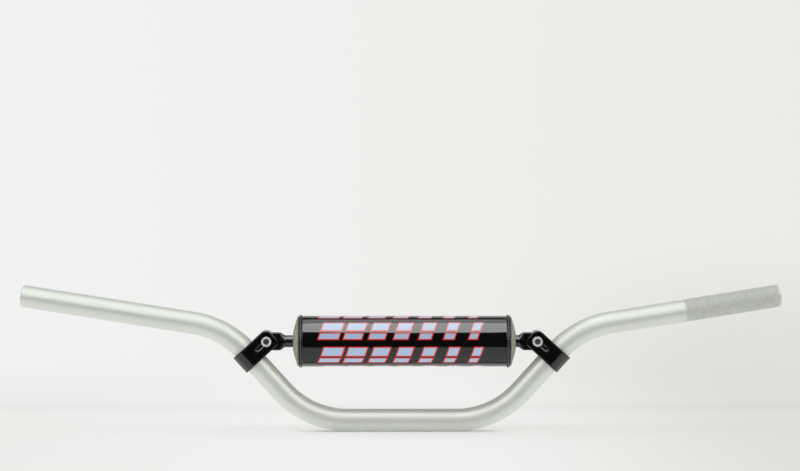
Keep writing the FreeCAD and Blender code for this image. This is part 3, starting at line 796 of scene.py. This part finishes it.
def make_bolt(side_name, side, *finishes):
    """A socket bolt with a knurled head. finishes are for its outside and for its key recess, which is painted dark
    as shade.
    """
    low, high = (corner.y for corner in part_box(f"{side_name}_bolt"))
    turn = full_turn(BOLT_POINTS)
    key = hexagon(turn, KEY_FLATS)
    mouth = KEY_FLATS / 2 / math.cos(math.pi / 6) + 0.06 * MM
    grooves = HEAD_RADIUS - HEAD_GROOVE_DEPTH * (0.5 + 0.5 * np.cos(turn * HEAD_GROOVES))
    side_top = low + HEAD_EDGE
    profile = [
        (low + KEY_DEPTH + KEY_CONE, 0.05 * MM),
        (low + KEY_DEPTH, key * 0.97),
        (low + KEY_DEPTH - 0.15 * MM, key),
        (low + 0.28 * MM, key),
        (low + 0.02 * MM, np.maximum(key, mouth * 0.99)),
        (low, mouth + 0.05 * MM),
    ]
    profile += rounded(side_top, HEAD_RADIUS - HEAD_EDGE, HEAD_EDGE, 180, 90, 8)
    profile += [
        (side_top + 0.25 * MM, grooves),
        (low + HEAD_HEIGHT - 0.55 * MM, grooves),
        (low + HEAD_HEIGHT - 0.25 * MM, HEAD_RADIUS - 0.05 * MM),
        (low + HEAD_HEIGHT, HEAD_RADIUS - 0.3 * MM),
        (low + HEAD_HEIGHT, THREAD_RADIUS + 0.25 * MM),
        (low + HEAD_HEIGHT + 0.25 * MM, THREAD_RADIUS),
    ]
    start = high - THREAD_LENGTH
    steps = int(round(THREAD_LENGTH / THREAD_PITCH * 8))
    for step in range(steps + 1):
        height = start + THREAD_LENGTH * step / steps
        phase = (height / THREAD_PITCH - turn / (2 * math.pi)) % 1.0
        root = np.clip(1.15 - np.abs(2 * phase - 1) * 1.3, 0, 1)
        runout = min(1.0, step / 8)
        taper = max(0.0, (height - (high - TIP_CHAMFER)) / TIP_CHAMFER) * TIP_CHAMFER
        profile.append((height, np.minimum(THREAD_RADIUS - THREAD_DEPTH * root * runout, THREAD_RADIUS - taper)))
    vertices, faces = spun(bolt_spot(side), profile, turn)
    # painted shade: the key recess and the cap at its bottom take the dark second finish
    kinds = [1] * (4 * BOLT_POINTS) + [0] * (len(faces) - 4 * BOLT_POINTS)
    kinds[-2] = 1
    return add_piece(f"{side_name}_bolt_detail", vertices, faces, finishes, "bar",
                     [f"{side_name}_bolt"], kinds=kinds, sharp=32)


def make_nut(side_name, side, finish):
    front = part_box(f"{side_name}_nut")[0].y
    turn = full_turn(BOLT_POINTS)
    flats = hexagon(turn, NUT_FLATS)
    seat = front + NUT_HEIGHT - INSERT_LENGTH
    top = front + NUT_HEIGHT
    cone = [(step * 0.11 * MM, np.minimum(flats, NUT_FLATS / 2 - 0.2 * MM + step * 0.19 * MM))
            for step in range(6)]
    profile = [(front + 0.3 * MM, NUT_BORE), (front, NUT_BORE + 0.3 * MM)]
    profile += [(front + height, radius) for height, radius in cone]
    profile += [(front + NUT_HEX_HEIGHT - height, radius) for height, radius in reversed(cone)]
    profile += [
        (front + NUT_HEX_HEIGHT + 0.05 * MM, NUT_COLLAR + 0.15 * MM),
        (front + NUT_HEX_HEIGHT + 0.3 * MM, NUT_COLLAR),
        (top - 0.45 * MM, NUT_COLLAR),
        (top - 0.15 * MM, NUT_COLLAR - 0.12 * MM),
        (top, NUT_COLLAR - 0.3 * MM),
        (top, INSERT_RADIUS + 0.03 * MM),
        (seat, INSERT_RADIUS + 0.02 * MM),
        (seat, NUT_BORE),
    ]
    vertices, faces = spun(bolt_spot(side), profile, turn, closed=True)
    return add_piece(f"{side_name}_nut_detail", vertices, faces, finish, "bar",
                     [f"{side_name}_nut"], sharp=28)


def make_insert(side_name, side, finish):
    low, high = (corner.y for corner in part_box(f"{side_name}_nut_insert"))
    soft = 0.25 * MM
    outer = INSERT_RADIUS - 0.01 * MM
    inner = THREAD_RADIUS + 0.02 * MM
    profile = [(low, inner), (low, outer)]
    profile += rounded(high - soft, outer - soft, soft, 90, 0)
    profile += rounded(high - soft, inner + soft, soft, 0, -90)
    vertices, faces = spun(bolt_spot(side), profile, full_turn(72), closed=True)
    return add_piece(f"{side_name}_nut_insert_detail", vertices, faces, finish, "bar",
                     [f"{side_name}_nut_insert"], sharp=40)


# ---------------- crossbar

ROD_RADIUS = 6.0 * MM
BLADE_HALF_HEIGHT = 8.95 * MM
BLADE_HALF_THICKNESS = 3.15 * MM
BLADE_CORNER = 1.5 * MM
BLADE_FLAT = 12.7 * MM
SHOULDER = 19.2 * MM
BLADE_HOLE = 3.2 * MM
CORNER_STEPS = 10
SHOULDER_RINGS = 36
TIP_STEPS = 48


def blade_section(share):
    """Half of a section in (y, z), from -Y over the top to +Y; share runs from blade, 0, to rod, 1."""
    height = BLADE_HALF_HEIGHT + (ROD_RADIUS - BLADE_HALF_HEIGHT) * share
    thickness = BLADE_HALF_THICKNESS + (ROD_RADIUS - BLADE_HALF_THICKNESS) * share
    corner = BLADE_CORNER + (ROD_RADIUS - BLADE_CORNER) * share
    points = [(-thickness, 0.0)]
    for centre, start in ((-(thickness - corner), 180), (thickness - corner, 90)):
        for step in range(CORNER_STEPS + 1):
            angle = math.radians(start - 90 * step / CORNER_STEPS)
            points.append((centre + corner * math.cos(angle), height - corner + corner * math.sin(angle)))
    points.append((thickness, 0.0))
    return np.array(points)


def full_section(share):
    half = blade_section(share)
    return np.concatenate([half, half[-2:0:-1] * (1, -1)])


def make_crossbar(finish):
    """Forged bar: a round rod whose ends are pressed into flat, rounded blades with a hole."""
    reach = abs(BOLT_CENTRE.x)
    level = BOLT_CENTRE.z
    distances = [0.0, BLADE_FLAT * 0.5]
    distances += [BLADE_FLAT + (SHOULDER - BLADE_FLAT) * step / SHOULDER_RINGS for step in range(SHOULDER_RINGS + 1)]
    distances += [SHOULDER + 8 * MM * step for step in range(1, 14)]
    stations = [(reach - distance, distance) for distance in distances]
    stations += [(-x, distance) for x, distance in reversed(stations)]
    vertices = []
    for x, distance in stations:
        share = min(1.0, max(0.0, (distance - BLADE_FLAT) / (SHOULDER - BLADE_FLAT)))
        section = full_section(share * share * (3 - 2 * share))
        vertices.append(np.column_stack([np.full(len(section), x), section[:, 0], level + section[:, 1]]))
    columns = len(vertices[0])
    faces = grid_faces(len(vertices), columns, closed_columns=True)
    half = blade_section(0.0)
    for number in range(2):
        start = len(vertices) * columns + number * (TIP_STEPS + 1) * len(half)
        faces += grid_faces(TIP_STEPS + 1, len(half), start=start)
    tips = []
    for side in (1, -1):
        for step in range(TIP_STEPS + 1):
            angle = math.pi * step / TIP_STEPS
            tips.append(np.column_stack([side * (reach + half[:, 1] * math.sin(angle)), half[:, 0],
                                         level + half[:, 1] * math.cos(angle)]))
    vertices = np.concatenate(vertices + tips)
    bar = add_piece("crossbar_forging", vertices, faces, finish, None, ["crossbar"])
    for side in SIDES.values():
        drill(bar, bolt_spot(side), BLADE_HOLE)
    bar.data.set_sharp_from_angle(angle=math.radians(35))
    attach(bar, "bar")
    return bar


def drill(piece, spot, radius):
    """Cut a round hole through a piece, along a spot's axis."""
    vertices, faces = spun(spot, [(-20 * MM, radius), (20 * MM, radius)], full_turn(64))
    mesh = bpy.data.meshes.new("drill")
    mesh.from_pydata(vertices.tolist(), [], faces)
    face_outward(mesh)
    tool = add_object("drill", mesh)
    hole = piece.modifiers.new("hole", "BOOLEAN")
    hole.operation = "DIFFERENCE"
    hole.solver = "EXACT"
    hole.object = tool
    bpy.context.view_layer.update()
    cut = bpy.data.meshes.new_from_object(piece.evaluated_get(bpy.context.evaluated_depsgraph_get()))
    piece.modifiers.clear()
    piece.data = cut
    bpy.data.objects.remove(tool)


# ---------------- foam

NOSE_LENGTH = 4.4 * MM
NOSE_RADIUS = 8.0 * MM
SLIT = 0.6 * MM
FOAM_SWELL = 0.5 * MM
FOAM_POINTS = 260


def foam_radius(from_end):
    """Outside of the foam by distance from its end: a domed nose, then straight."""
    share = min(1.0, from_end / NOSE_LENGTH)
    return NOSE_RADIUS + (FOAM_RADIUS - NOSE_RADIUS) * share ** 0.82


def make_foam(finish):
    half = FOAM_LENGTH / 2
    offsets = [NOSE_LENGTH * (step / 26) ** 1.15 for step in range(27)]
    offsets += [NOSE_LENGTH + 0.3 * MM * step for step in range(1, 9)]
    offsets += list(np.linspace(NOSE_LENGTH + 4 * MM, half, 16))
    left = [(-half + offset, foam_radius(offset)) for offset in offsets]
    right = [(-height, radius) for height, radius in reversed(left[:-1])]
    inner = [(height, FOAM_BORE) for height in np.linspace(half, -half, 24)]
    profile = left + right + inner
    rear = SLIT / 2 / FOAM_RADIUS
    turn = rear + (2 * math.pi - 2 * rear) * np.arange(FOAM_POINTS) / (FOAM_POINTS - 1)
    rings = []
    outer_count = len(left) + len(right)
    for number, (height, radius) in enumerate(profile):
        reach = np.full(FOAM_POINTS, radius)
        if number < outer_count:
            past = max(0.0, abs(height) - COVER_LENGTH / 2)
            swell = FOAM_SWELL * min(1.0, past / (0.8 * MM)) * min(1.0, radius / FOAM_RADIUS)
            lumps = np.array([ripple(math.cos(a), math.sin(a), height / (12 * MM), 0.55) for a in turn])
            folds = np.array([abs(ripple(3 + math.cos(a), math.sin(a), height / (30 * MM), 0.16))
                              for a in turn])
            crease = np.clip(0.16 - folds, 0, 1) / 0.16
            free = min(1.0, past / (1.0 * MM))
            reach = reach + swell + free * (0.18 * MM * lumps - 0.55 * MM * crease)
            reach = np.maximum(reach, FOAM_BORE + 0.4 * MM)
        rings.append(PAD.ring(height, reach, turn))
    vertices = np.concatenate(rings)
    faces = grid_faces(len(profile), FOAM_POINTS, closed_rows=True)
    faces.append(tuple(row * FOAM_POINTS for row in range(len(profile))))
    faces.append(tuple(row * FOAM_POINTS + FOAM_POINTS - 1 for row in range(len(profile))))
    foam = add_piece("foam", vertices, faces, finish, "pad", ["pad_foam"], sharp=55)
    return foam


# ---------------- cover

COVER_POINTS = 330
STITCHES = 55
HEM_RIDGES = ((0.85 * MM, 0.62 * MM, 0.58 * MM), (3.10 * MM, 0.66 * MM, 0.54 * MM))
HEM_GROOVE = 2.0 * MM
HEM_END = 4.0 * MM
LIP_EDGE = 0.28 * MM
WAVE_DEPTH = 0.22 * MM
PUCKER_DEPTH = 0.16 * MM
PUCKER_REACH = 9 * MM
LINING_RINGS = 40


def hem_height(from_end, turn):
    """Height of the turned and stitched hem above the cover; the thread draws it in at each stitch."""
    height = np.zeros(len(turn))
    pull = 0.5 + 0.5 * np.cos(turn * STITCHES)
    for crest, top, width in HEM_RIDGES:
        shape = max(0.0, 1 - ((from_end - crest) / (width * 1.35)) ** 2)
        height = np.maximum(height, top * shape * (1 - 0.16 * pull))
    inside = max(0.0, 1 - abs(from_end - HEM_GROOVE) / (1.6 * MM))
    floor = (0.34 - 0.20 * pull) * MM
    return np.maximum(height, floor * min(1.0, inside * 2))


def cover_wave(height, turn):
    """Low, broad waves of the cloth over the foam, and short puckers near the hems."""
    broad = np.array([ripple(1.7 * math.cos(a), 1.7 * math.sin(a), height / (34 * MM)) for a in turn])
    past = (COVER_LENGTH / 2 - abs(height)) / PUCKER_REACH
    short = np.array([ripple(9 * math.cos(a), 9 * math.sin(a), height / PUCKER_REACH) for a in turn])
    return WAVE_DEPTH * (broad * 0.6 - 0.35) + PUCKER_DEPTH * (math.exp(-past * past * 2) * short)


def cover_uv(height, turn, radius=COVER_RADIUS):
    return np.column_stack([np.full(len(turn), height), turn * radius])


def make_cover(*finishes):
    """The printed sleeve. finishes are for its middle and for the folded ends."""
    half = COVER_LENGTH / 2
    turn = full_turn(COVER_POINTS)
    offsets = [0.04 * MM, 0.12 * MM, 0.25 * MM] + [0.4 * MM + 0.2 * MM * step for step in range(20)]
    offsets += list(np.linspace(5.2 * MM, half, 66))
    places = [-half + offset for offset in offsets] + [half - offset for offset in reversed(offsets[:-1])]
    rings, uvs = [], []
    for height in places:
        from_end = half - abs(height)
        lip = LIP_EDGE * (1 - math.sqrt(max(0.0, 1 - max(0.0, 1 - from_end / LIP_EDGE) ** 2)))
        reach = COVER_RADIUS + hem_height(from_end, turn) + cover_wave(height, turn) - lip
        rings.append(PAD.ring(height, reach, turn))
        uvs.append(cover_uv(height, turn))
    for height in np.linspace(half - 0.1 * MM, -half + 0.1 * MM, LINING_RINGS):
        rings.append(PAD.ring(height, COVER_INNER, turn))
        uvs.append(cover_uv(height, turn))
    kinds = []
    for height in places + [half] * LINING_RINGS:
        kinds += [int(half - abs(height) < HEM_END)] * COVER_POINTS
    vertices = np.concatenate(rings)
    faces = grid_faces(len(rings), COVER_POINTS, closed_columns=True, closed_rows=True)
    return add_piece("cover", vertices, faces, finishes, "cover", ["pad_cover"],
                     np.concatenate(uvs), 2 * math.pi * COVER_RADIUS, kinds)


def sheet_faces(count, width):
    """Faces of a closed sheet: its outer grid, its inner grid and the rims between them."""
    back = count * width
    rims = [(row * width + j, 1) for j in range(width - 1) for row in (0, count - 1)]
    rims += [(i * width + column, width) for i in range(count - 1) for column in (0, width - 1)]
    faces = grid_faces(count, width) + grid_faces(count, width, start=back)
    return faces + [(a, a + step, back + a + step, back + a) for a, step in rims]


def graded(start, stop, count, margin):
    """Places from start to stop, closer together within margin of either end."""
    near = np.linspace(0, margin, 7)
    far = np.linspace(start + margin, stop - margin, count)
    return np.concatenate([start + near[:-1], far, stop - near[-2::-1]])


FLAP_ROOT = math.radians(4.0)
FLAP_ROOT_INNER = 25.32 * MM
FLAP_CORNER = 4.0 * MM
FLAP_HEM = 3.2 * MM
FLAP_HEM_HEIGHT = 0.38 * MM
FLAP_THIN = 0.55 * MM
FOLD_RADIUS = 25.9 * MM
FOLD_REACH = math.radians(3.0)


def make_flap(finish):
    """The flap: a double layer with a rolled edge, rounded corners and a root sewn to the cover."""
    half = FLAP_LENGTH / 2
    root = FLAP_START - FLAP_ROOT
    span = FLAP_START + FLAP_SPAN - root
    arc_length = span * HOOK_RADIUS
    heights = graded(-half, half, 90, 3.6 * MM)
    shares = graded(0.0, 1.0, 40, 0.10)

    def rounded_in(height, share):
        """Angle and edge distance of a point of the sheet after its free corners are rounded."""
        from_side = half - abs(height)
        cut = 0.0
        if from_side < FLAP_CORNER:
            cut = FLAP_CORNER - math.sqrt(max(0.0, FLAP_CORNER ** 2 - (FLAP_CORNER - from_side) ** 2))
        kept = (arc_length - cut) / arc_length
        edge = min(from_side + cut * share * 0.5, (1 - share) * arc_length * kept)
        return root + span * share * kept, edge

    def radii(height, share):
        angle, edge = rounded_in(height, share)
        lift = min(1.0, max(0.0, (angle - FLAP_START + math.radians(1.5)) / math.radians(6.0)))
        lift = lift * lift * (3 - 2 * lift)
        inner = FLAP_ROOT_INNER + (HOOK_RADIUS + 0.01 * MM - FLAP_ROOT_INNER) * lift
        hem = FLAP_HEM_HEIGHT * math.exp(-((edge - 1.5 * MM) / (0.95 * MM)) ** 2)
        valley = 0.20 * MM * math.exp(-((edge - FLAP_HEM) / (0.5 * MM)) ** 2)
        wave = 0.16 * MM * ripple(height / (26 * MM), angle * 2.4) * min(1.0, edge / (2 * MM))
        thickness = FLAP_THIN + 0.22 * MM + hem - valley + wave
        rounding = min(1.0, edge / (0.5 * MM))
        return angle, inner, inner + thickness * (0.45 + 0.55 * math.sqrt(rounding))

    outer_rows, inner_rows, uvs = [], [], []
    for height in heights:
        angles, inner, outer = np.array([radii(height, share) for share in shares]).T
        outer_rows.append(PAD.ring(height, outer, angles))
        inner_rows.append(PAD.ring(height, inner, angles))
        uvs.append(cover_uv(height, angles))
    flap = add_piece("flap", np.concatenate(outer_rows + inner_rows), sheet_faces(len(heights), len(shares)),
                     finish, None, ["cover_flap"], np.concatenate(uvs + uvs))
    start, stop = (PAD.point(0.0, FOLD_RADIUS, FLAP_START + reach) for reach in (-FOLD_REACH, FOLD_REACH))
    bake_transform(flap)
    return flap


def make_strip(name, node_name, inner, outer, pile_outward, finish, body):
    """A slab of woven tape whose edges are softened on the side of its pile."""
    half = STRIP_LENGTH / 2
    soft = 0.30 * MM

    def drop(height, angle):
        from_side = min((angle - STRIP_START) * outer, (STRIP_START + STRIP_SPAN - angle) * outer)
        edge = min(half - abs(height), from_side)
        return soft * (1 - min(1.0, max(0.0, edge) / (0.5 * MM))) ** 2

    def outside(height, angle):
        return outer - (drop(height, angle) if pile_outward else 0.0)

    def inside(height, angle):
        return inner + (0.0 if pile_outward else drop(height, angle))

    heights = graded(-half, half, 60, 1.2 * MM)
    angles = graded(STRIP_START, STRIP_START + STRIP_SPAN, 24, math.radians(2.0))
    rows = [PAD.ring(height, np.array([surface(height, angle) for angle in angles]), angles)
            for surface in (outside, inside) for height in heights]
    uvs = np.concatenate([cover_uv(height, angles) for height in heights] * 2)
    return add_piece(name, np.concatenate(rows), sheet_faces(len(heights), len(angles)), finish, body,
                     [node_name], uvs)


# ---------------- threads, loops and hooks

THREAD_WIDTH = 0.33 * MM
STRIP_THREAD = 0.20 * MM
ROOT_THREAD = 0.24 * MM
LOOP_WIDTH = 0.055 * MM
HOOK_WIDTH = 0.06 * MM
STITCH_RISE = 0.30 * MM
STITCH_SHARE = 0.50
STRIP_STITCH = 3.0 * MM
STRIP_INSET = 2.0 * MM
LOOP_BASE = 25.72 * MM
LOOP_TOP = 26.12 * MM
LOOP_REACH = 0.42 * MM
HOOK_BASE = 26.78 * MM
HOOK_TIP = 26.36 * MM
HOOK_OUTLINE = [(0.0, 0.0), (0.02, 0.55), (0.10, 0.90), (0.24, 1.0), (0.36, 0.80), (0.38, 0.60)]
PILE_COUNT = 2400
PILE_MARGIN = 0.9 * MM


def add_strands(name, runs, radius, sides, finish, body, replaces=()):
    """A piece of many short strands, each run a list of points of a strand's middle."""
    vertices, faces, uvs = [], [], []
    around = full_turn(sides)
    for run in runs:
        run = np.asarray(run, float)
        ways = np.gradient(run, axis=0)
        ways /= np.linalg.norm(ways, axis=1)[:, None]
        spoke = np.cross(ways[0], (0.31, 0.52, 0.80))
        lengths = np.concatenate([[0], np.cumsum(np.linalg.norm(np.diff(run, axis=0), axis=1))])
        base = len(vertices) * sides
        for number, (point, way) in enumerate(zip(run, ways)):
            spoke = unit(spoke - way * (spoke @ way))
            other = np.cross(way, spoke)
            size = radius * (0.45 if number in (0, len(run) - 1) else 1.0)
            vertices.append(point + size * (np.outer(np.cos(around), spoke) + np.outer(np.sin(around), other)))
            uvs.append(np.column_stack([np.full(sides, lengths[number]), around * radius]))
        faces += grid_faces(len(run), sides, closed_columns=True, start=base)
        last = base + (len(run) - 1) * sides
        faces += [tuple(range(base, base + sides)), tuple(range(last, last + sides))]
    return add_piece(name, np.concatenate(vertices), faces, finish, body, replaces, np.concatenate(uvs))


def stitch(start, stop, radius, rise=STITCH_RISE, steps=8):
    """One stitch over the pad's surface, between two places given as a height and an angle."""
    points = []
    for step in range(steps + 1):
        share = step / steps
        height = start[0] + (stop[0] - start[0]) * share
        angle = start[1] + (stop[1] - start[1]) * share
        lift = rise * (2.2 * math.sin(math.pi * share) ** 0.5 - 1.2)
        points.append(PAD.point(height, radius + lift, angle))
    return points


def make_hem_stitching(side_name, side, finish):
    middle_place = side * (COVER_LENGTH / 2 - HEM_GROOVE)
    pitch = 2 * math.pi / STITCHES
    slant = 0.10 * MM * side
    runs = []
    for number in range(STITCHES):
        first = number * pitch
        runs.append(stitch((middle_place - slant, first + pitch * (1 - STITCH_SHARE) / 2),
                           (middle_place + slant, first + pitch * (1 + STITCH_SHARE) / 2),
                           COVER_RADIUS + 0.56 * MM))
    return add_strands(f"{side_name}_hem_thread", runs, THREAD_WIDTH, 8, finish, "cover",
                       [f"{side_name}_hem_stitching"])


def make_strip_stitching(name, node_name, radius, inward, finish, body):
    """Stitches along the outline of a strip, set in from its edge."""
    rise = -STITCH_RISE if inward else STITCH_RISE
    low, high = STRIP_START + STRIP_INSET / radius, STRIP_START + STRIP_SPAN - STRIP_INSET / radius
    half = STRIP_LENGTH / 2 - STRIP_INSET
    corners = [(-half, low), (half, low), (half, high), (-half, high)]
    runs = []
    for first, second in zip(corners, corners[1:] + corners[:1]):
        distance = math.hypot(second[0] - first[0], (second[1] - first[1]) * radius)
        count = max(1, round(distance / STRIP_STITCH))
        for number in range(count):
            shares = [(number + (1 - STITCH_SHARE) / 2) / count, (number + (1 + STITCH_SHARE) / 2) / count]
            start, stop = ((first[0] + (second[0] - first[0]) * share, first[1] + (second[1] - first[1]) * share)
                           for share in shares)
            runs.append(stitch(start, stop, radius, rise, 5))
    return add_strands(name, runs, STRIP_THREAD, 6, finish, body, [node_name])


def pile_places(radius, seed):
    """Scattered but even places in a strip, as heights and angles, with a free turn for each."""
    random = np.random.default_rng(seed)
    width = STRIP_SPAN * radius - 2 * PILE_MARGIN
    height = STRIP_LENGTH - 2 * PILE_MARGIN
    rows = max(2, round(math.sqrt(PILE_COUNT * width / height)))
    columns = max(2, round(PILE_COUNT / rows))
    places = []
    for row in range(rows):
        for column in range(columns):
            x = -height / 2 + height * (column + 0.5 + 0.7 * (random.random() - 0.5)) / columns
            y = PILE_MARGIN + width * (row + 0.5 + 0.7 * (random.random() - 0.5)) / rows
            places.append((x, STRIP_START + y / radius, random.random() * math.pi))
    return places


def make_loops(finish):
    """Soft loops on the cover's strip."""
    runs = []
    for x, angle, spin in pile_places(LOOP_RADIUS, 5):
        run = []
        for step in range(6):
            share = step / 5
            across = LOOP_REACH * (share - 0.5) * 2
            rise = LOOP_BASE - 0.10 * MM + (LOOP_TOP - LOOP_BASE) * math.sin(math.pi * share) ** 0.6
            run.append(PAD.point(x + across * math.cos(spin), rise, angle + across * math.sin(spin) / LOOP_RADIUS))
        runs.append(run)
    return add_strands("loop_pile", runs, LOOP_WIDTH, 4, finish, "cover")


def make_hooks(finish):
    """Stiff hooks on the flap's strip, bent over to one side and the other by turns."""
    runs = []
    for number, (x, angle, _) in enumerate(pile_places(HOOK_RADIUS, 9)):
        way = 1 if number % 2 else -1
        runs.append([PAD.point(x + way * offset * MM, HOOK_BASE + 0.05 * MM - (HOOK_BASE - HOOK_TIP) * depth, angle)
                     for offset, depth in HOOK_OUTLINE])
    return add_strands("hook_pile", runs, HOOK_WIDTH, 4, finish, "flap")


def make_root_stitching(finish):
    """The seam that holds the flap's root to the cover."""
    half = FLAP_LENGTH / 2 - 3 * MM
    angle = FLAP_START - math.radians(2.6)
    count = int(2 * half / STRIP_STITCH)
    runs = []
    for number in range(count):
        first, second = (-half + 2 * half * (number + share) / count for share in (0.1, 0.9))
        runs.append(stitch((first, angle), (second, angle), COVER_RADIUS + 1.18 * MM, steps=6))
    return add_strands("root_stitching", runs, ROOT_THREAD, 6, finish, "cover")


# ---------------- scene

def dress(node_name, finish):
    """Give a shown CAD node its finish."""
    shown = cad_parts[node_name]
    shown.data.materials.clear()
    shown.data.materials.append(finish)
    for face in shown.data.polygons:
        face.material_index = 0


make_camera()
make_world()
make_floor()

tube_finish = satin_anodised("satin_anodised_tube", 0.45, 0.20)
knurl_finish = satin_anodised("satin_anodised_knurl", 0.68, 0.15, 0.26)
bore_finish = turned_bore()
clamp_finish = black_anodised()
crossbar_finish = forged_black()
bolt_finish = bright_metal("stainless_steel", (0.78, 0.78, 0.75), 0.42, 0.35)
# painted shade for the bolts' key recesses: dark steel standing in for the shade inside them
recess_shade_finish = bright_metal("stainless_steel_recess_painted_shade", (0.10, 0.10, 0.095), 0.55, 0.5, 0.03 * MM)
nut_finish = bright_metal("zinc_plated_steel", (0.62, 0.64, 0.66), 0.30, 0.9)
insert_finish = nylon()
foam_finish = beige_foam()
cover_finish = black_vinyl("printed_black_vinyl", True)
flap_finish = black_vinyl("plain_black_vinyl", False)
hem_finish = black_vinyl("folded_black_vinyl", False, 0.30, 0.22)
hook_finish = woven("black_hook_tape", (0.012, 0.012, 0.013), 0.9 * MM, 0.10 * MM, 0.6, 0.1)
loop_finish = woven("black_loop_tape", (0.016, 0.016, 0.018), 0.8 * MM, 0.15 * MM, 0.95, 0.6)
thread_finish = thread_material()

make_tube(tube_finish, knurl_finish, bore_finish)
make_crossbar(crossbar_finish)
for side_name, side in SIDES.items():
    dress(f"{side_name}_clamp", clamp_finish)
    make_bolt(side_name, side, bolt_finish, recess_shade_finish)
    make_nut(side_name, side, nut_finish)
    make_insert(side_name, side, insert_finish)

make_foam(foam_finish)
cover = make_cover(cover_finish, hem_finish)
loop_strip = make_strip("loop_strip_tape", "loop_strip", COVER_RADIUS - 0.15 * MM, LOOP_BASE, True,
                        loop_finish, "cover")
hook_strip = make_strip("hook_strip_tape", "hook_strip", HOOK_BASE, HOOK_RADIUS, False,
                        hook_finish, "flap")
flap = make_flap(flap_finish)
cover_pieces = [make_hem_stitching(side_name, side, thread_finish) for side_name, side in SIDES.items()]
cover_pieces += [loop_strip, make_loops(loop_finish), make_root_stitching(thread_finish)]
cover_pieces.append(make_strip_stitching("loop_strip_thread", "loop_strip_stitching", LOOP_BASE + 0.06 * MM,
                                         False, thread_finish, "cover"))
flap_pieces = [hook_strip, make_hooks(hook_finish)]
flap_pieces.append(make_strip_stitching("hook_strip_thread", "hook_strip_stitching", HOOK_BASE - 0.06 * MM,
                                        True, thread_finish, "flap"))
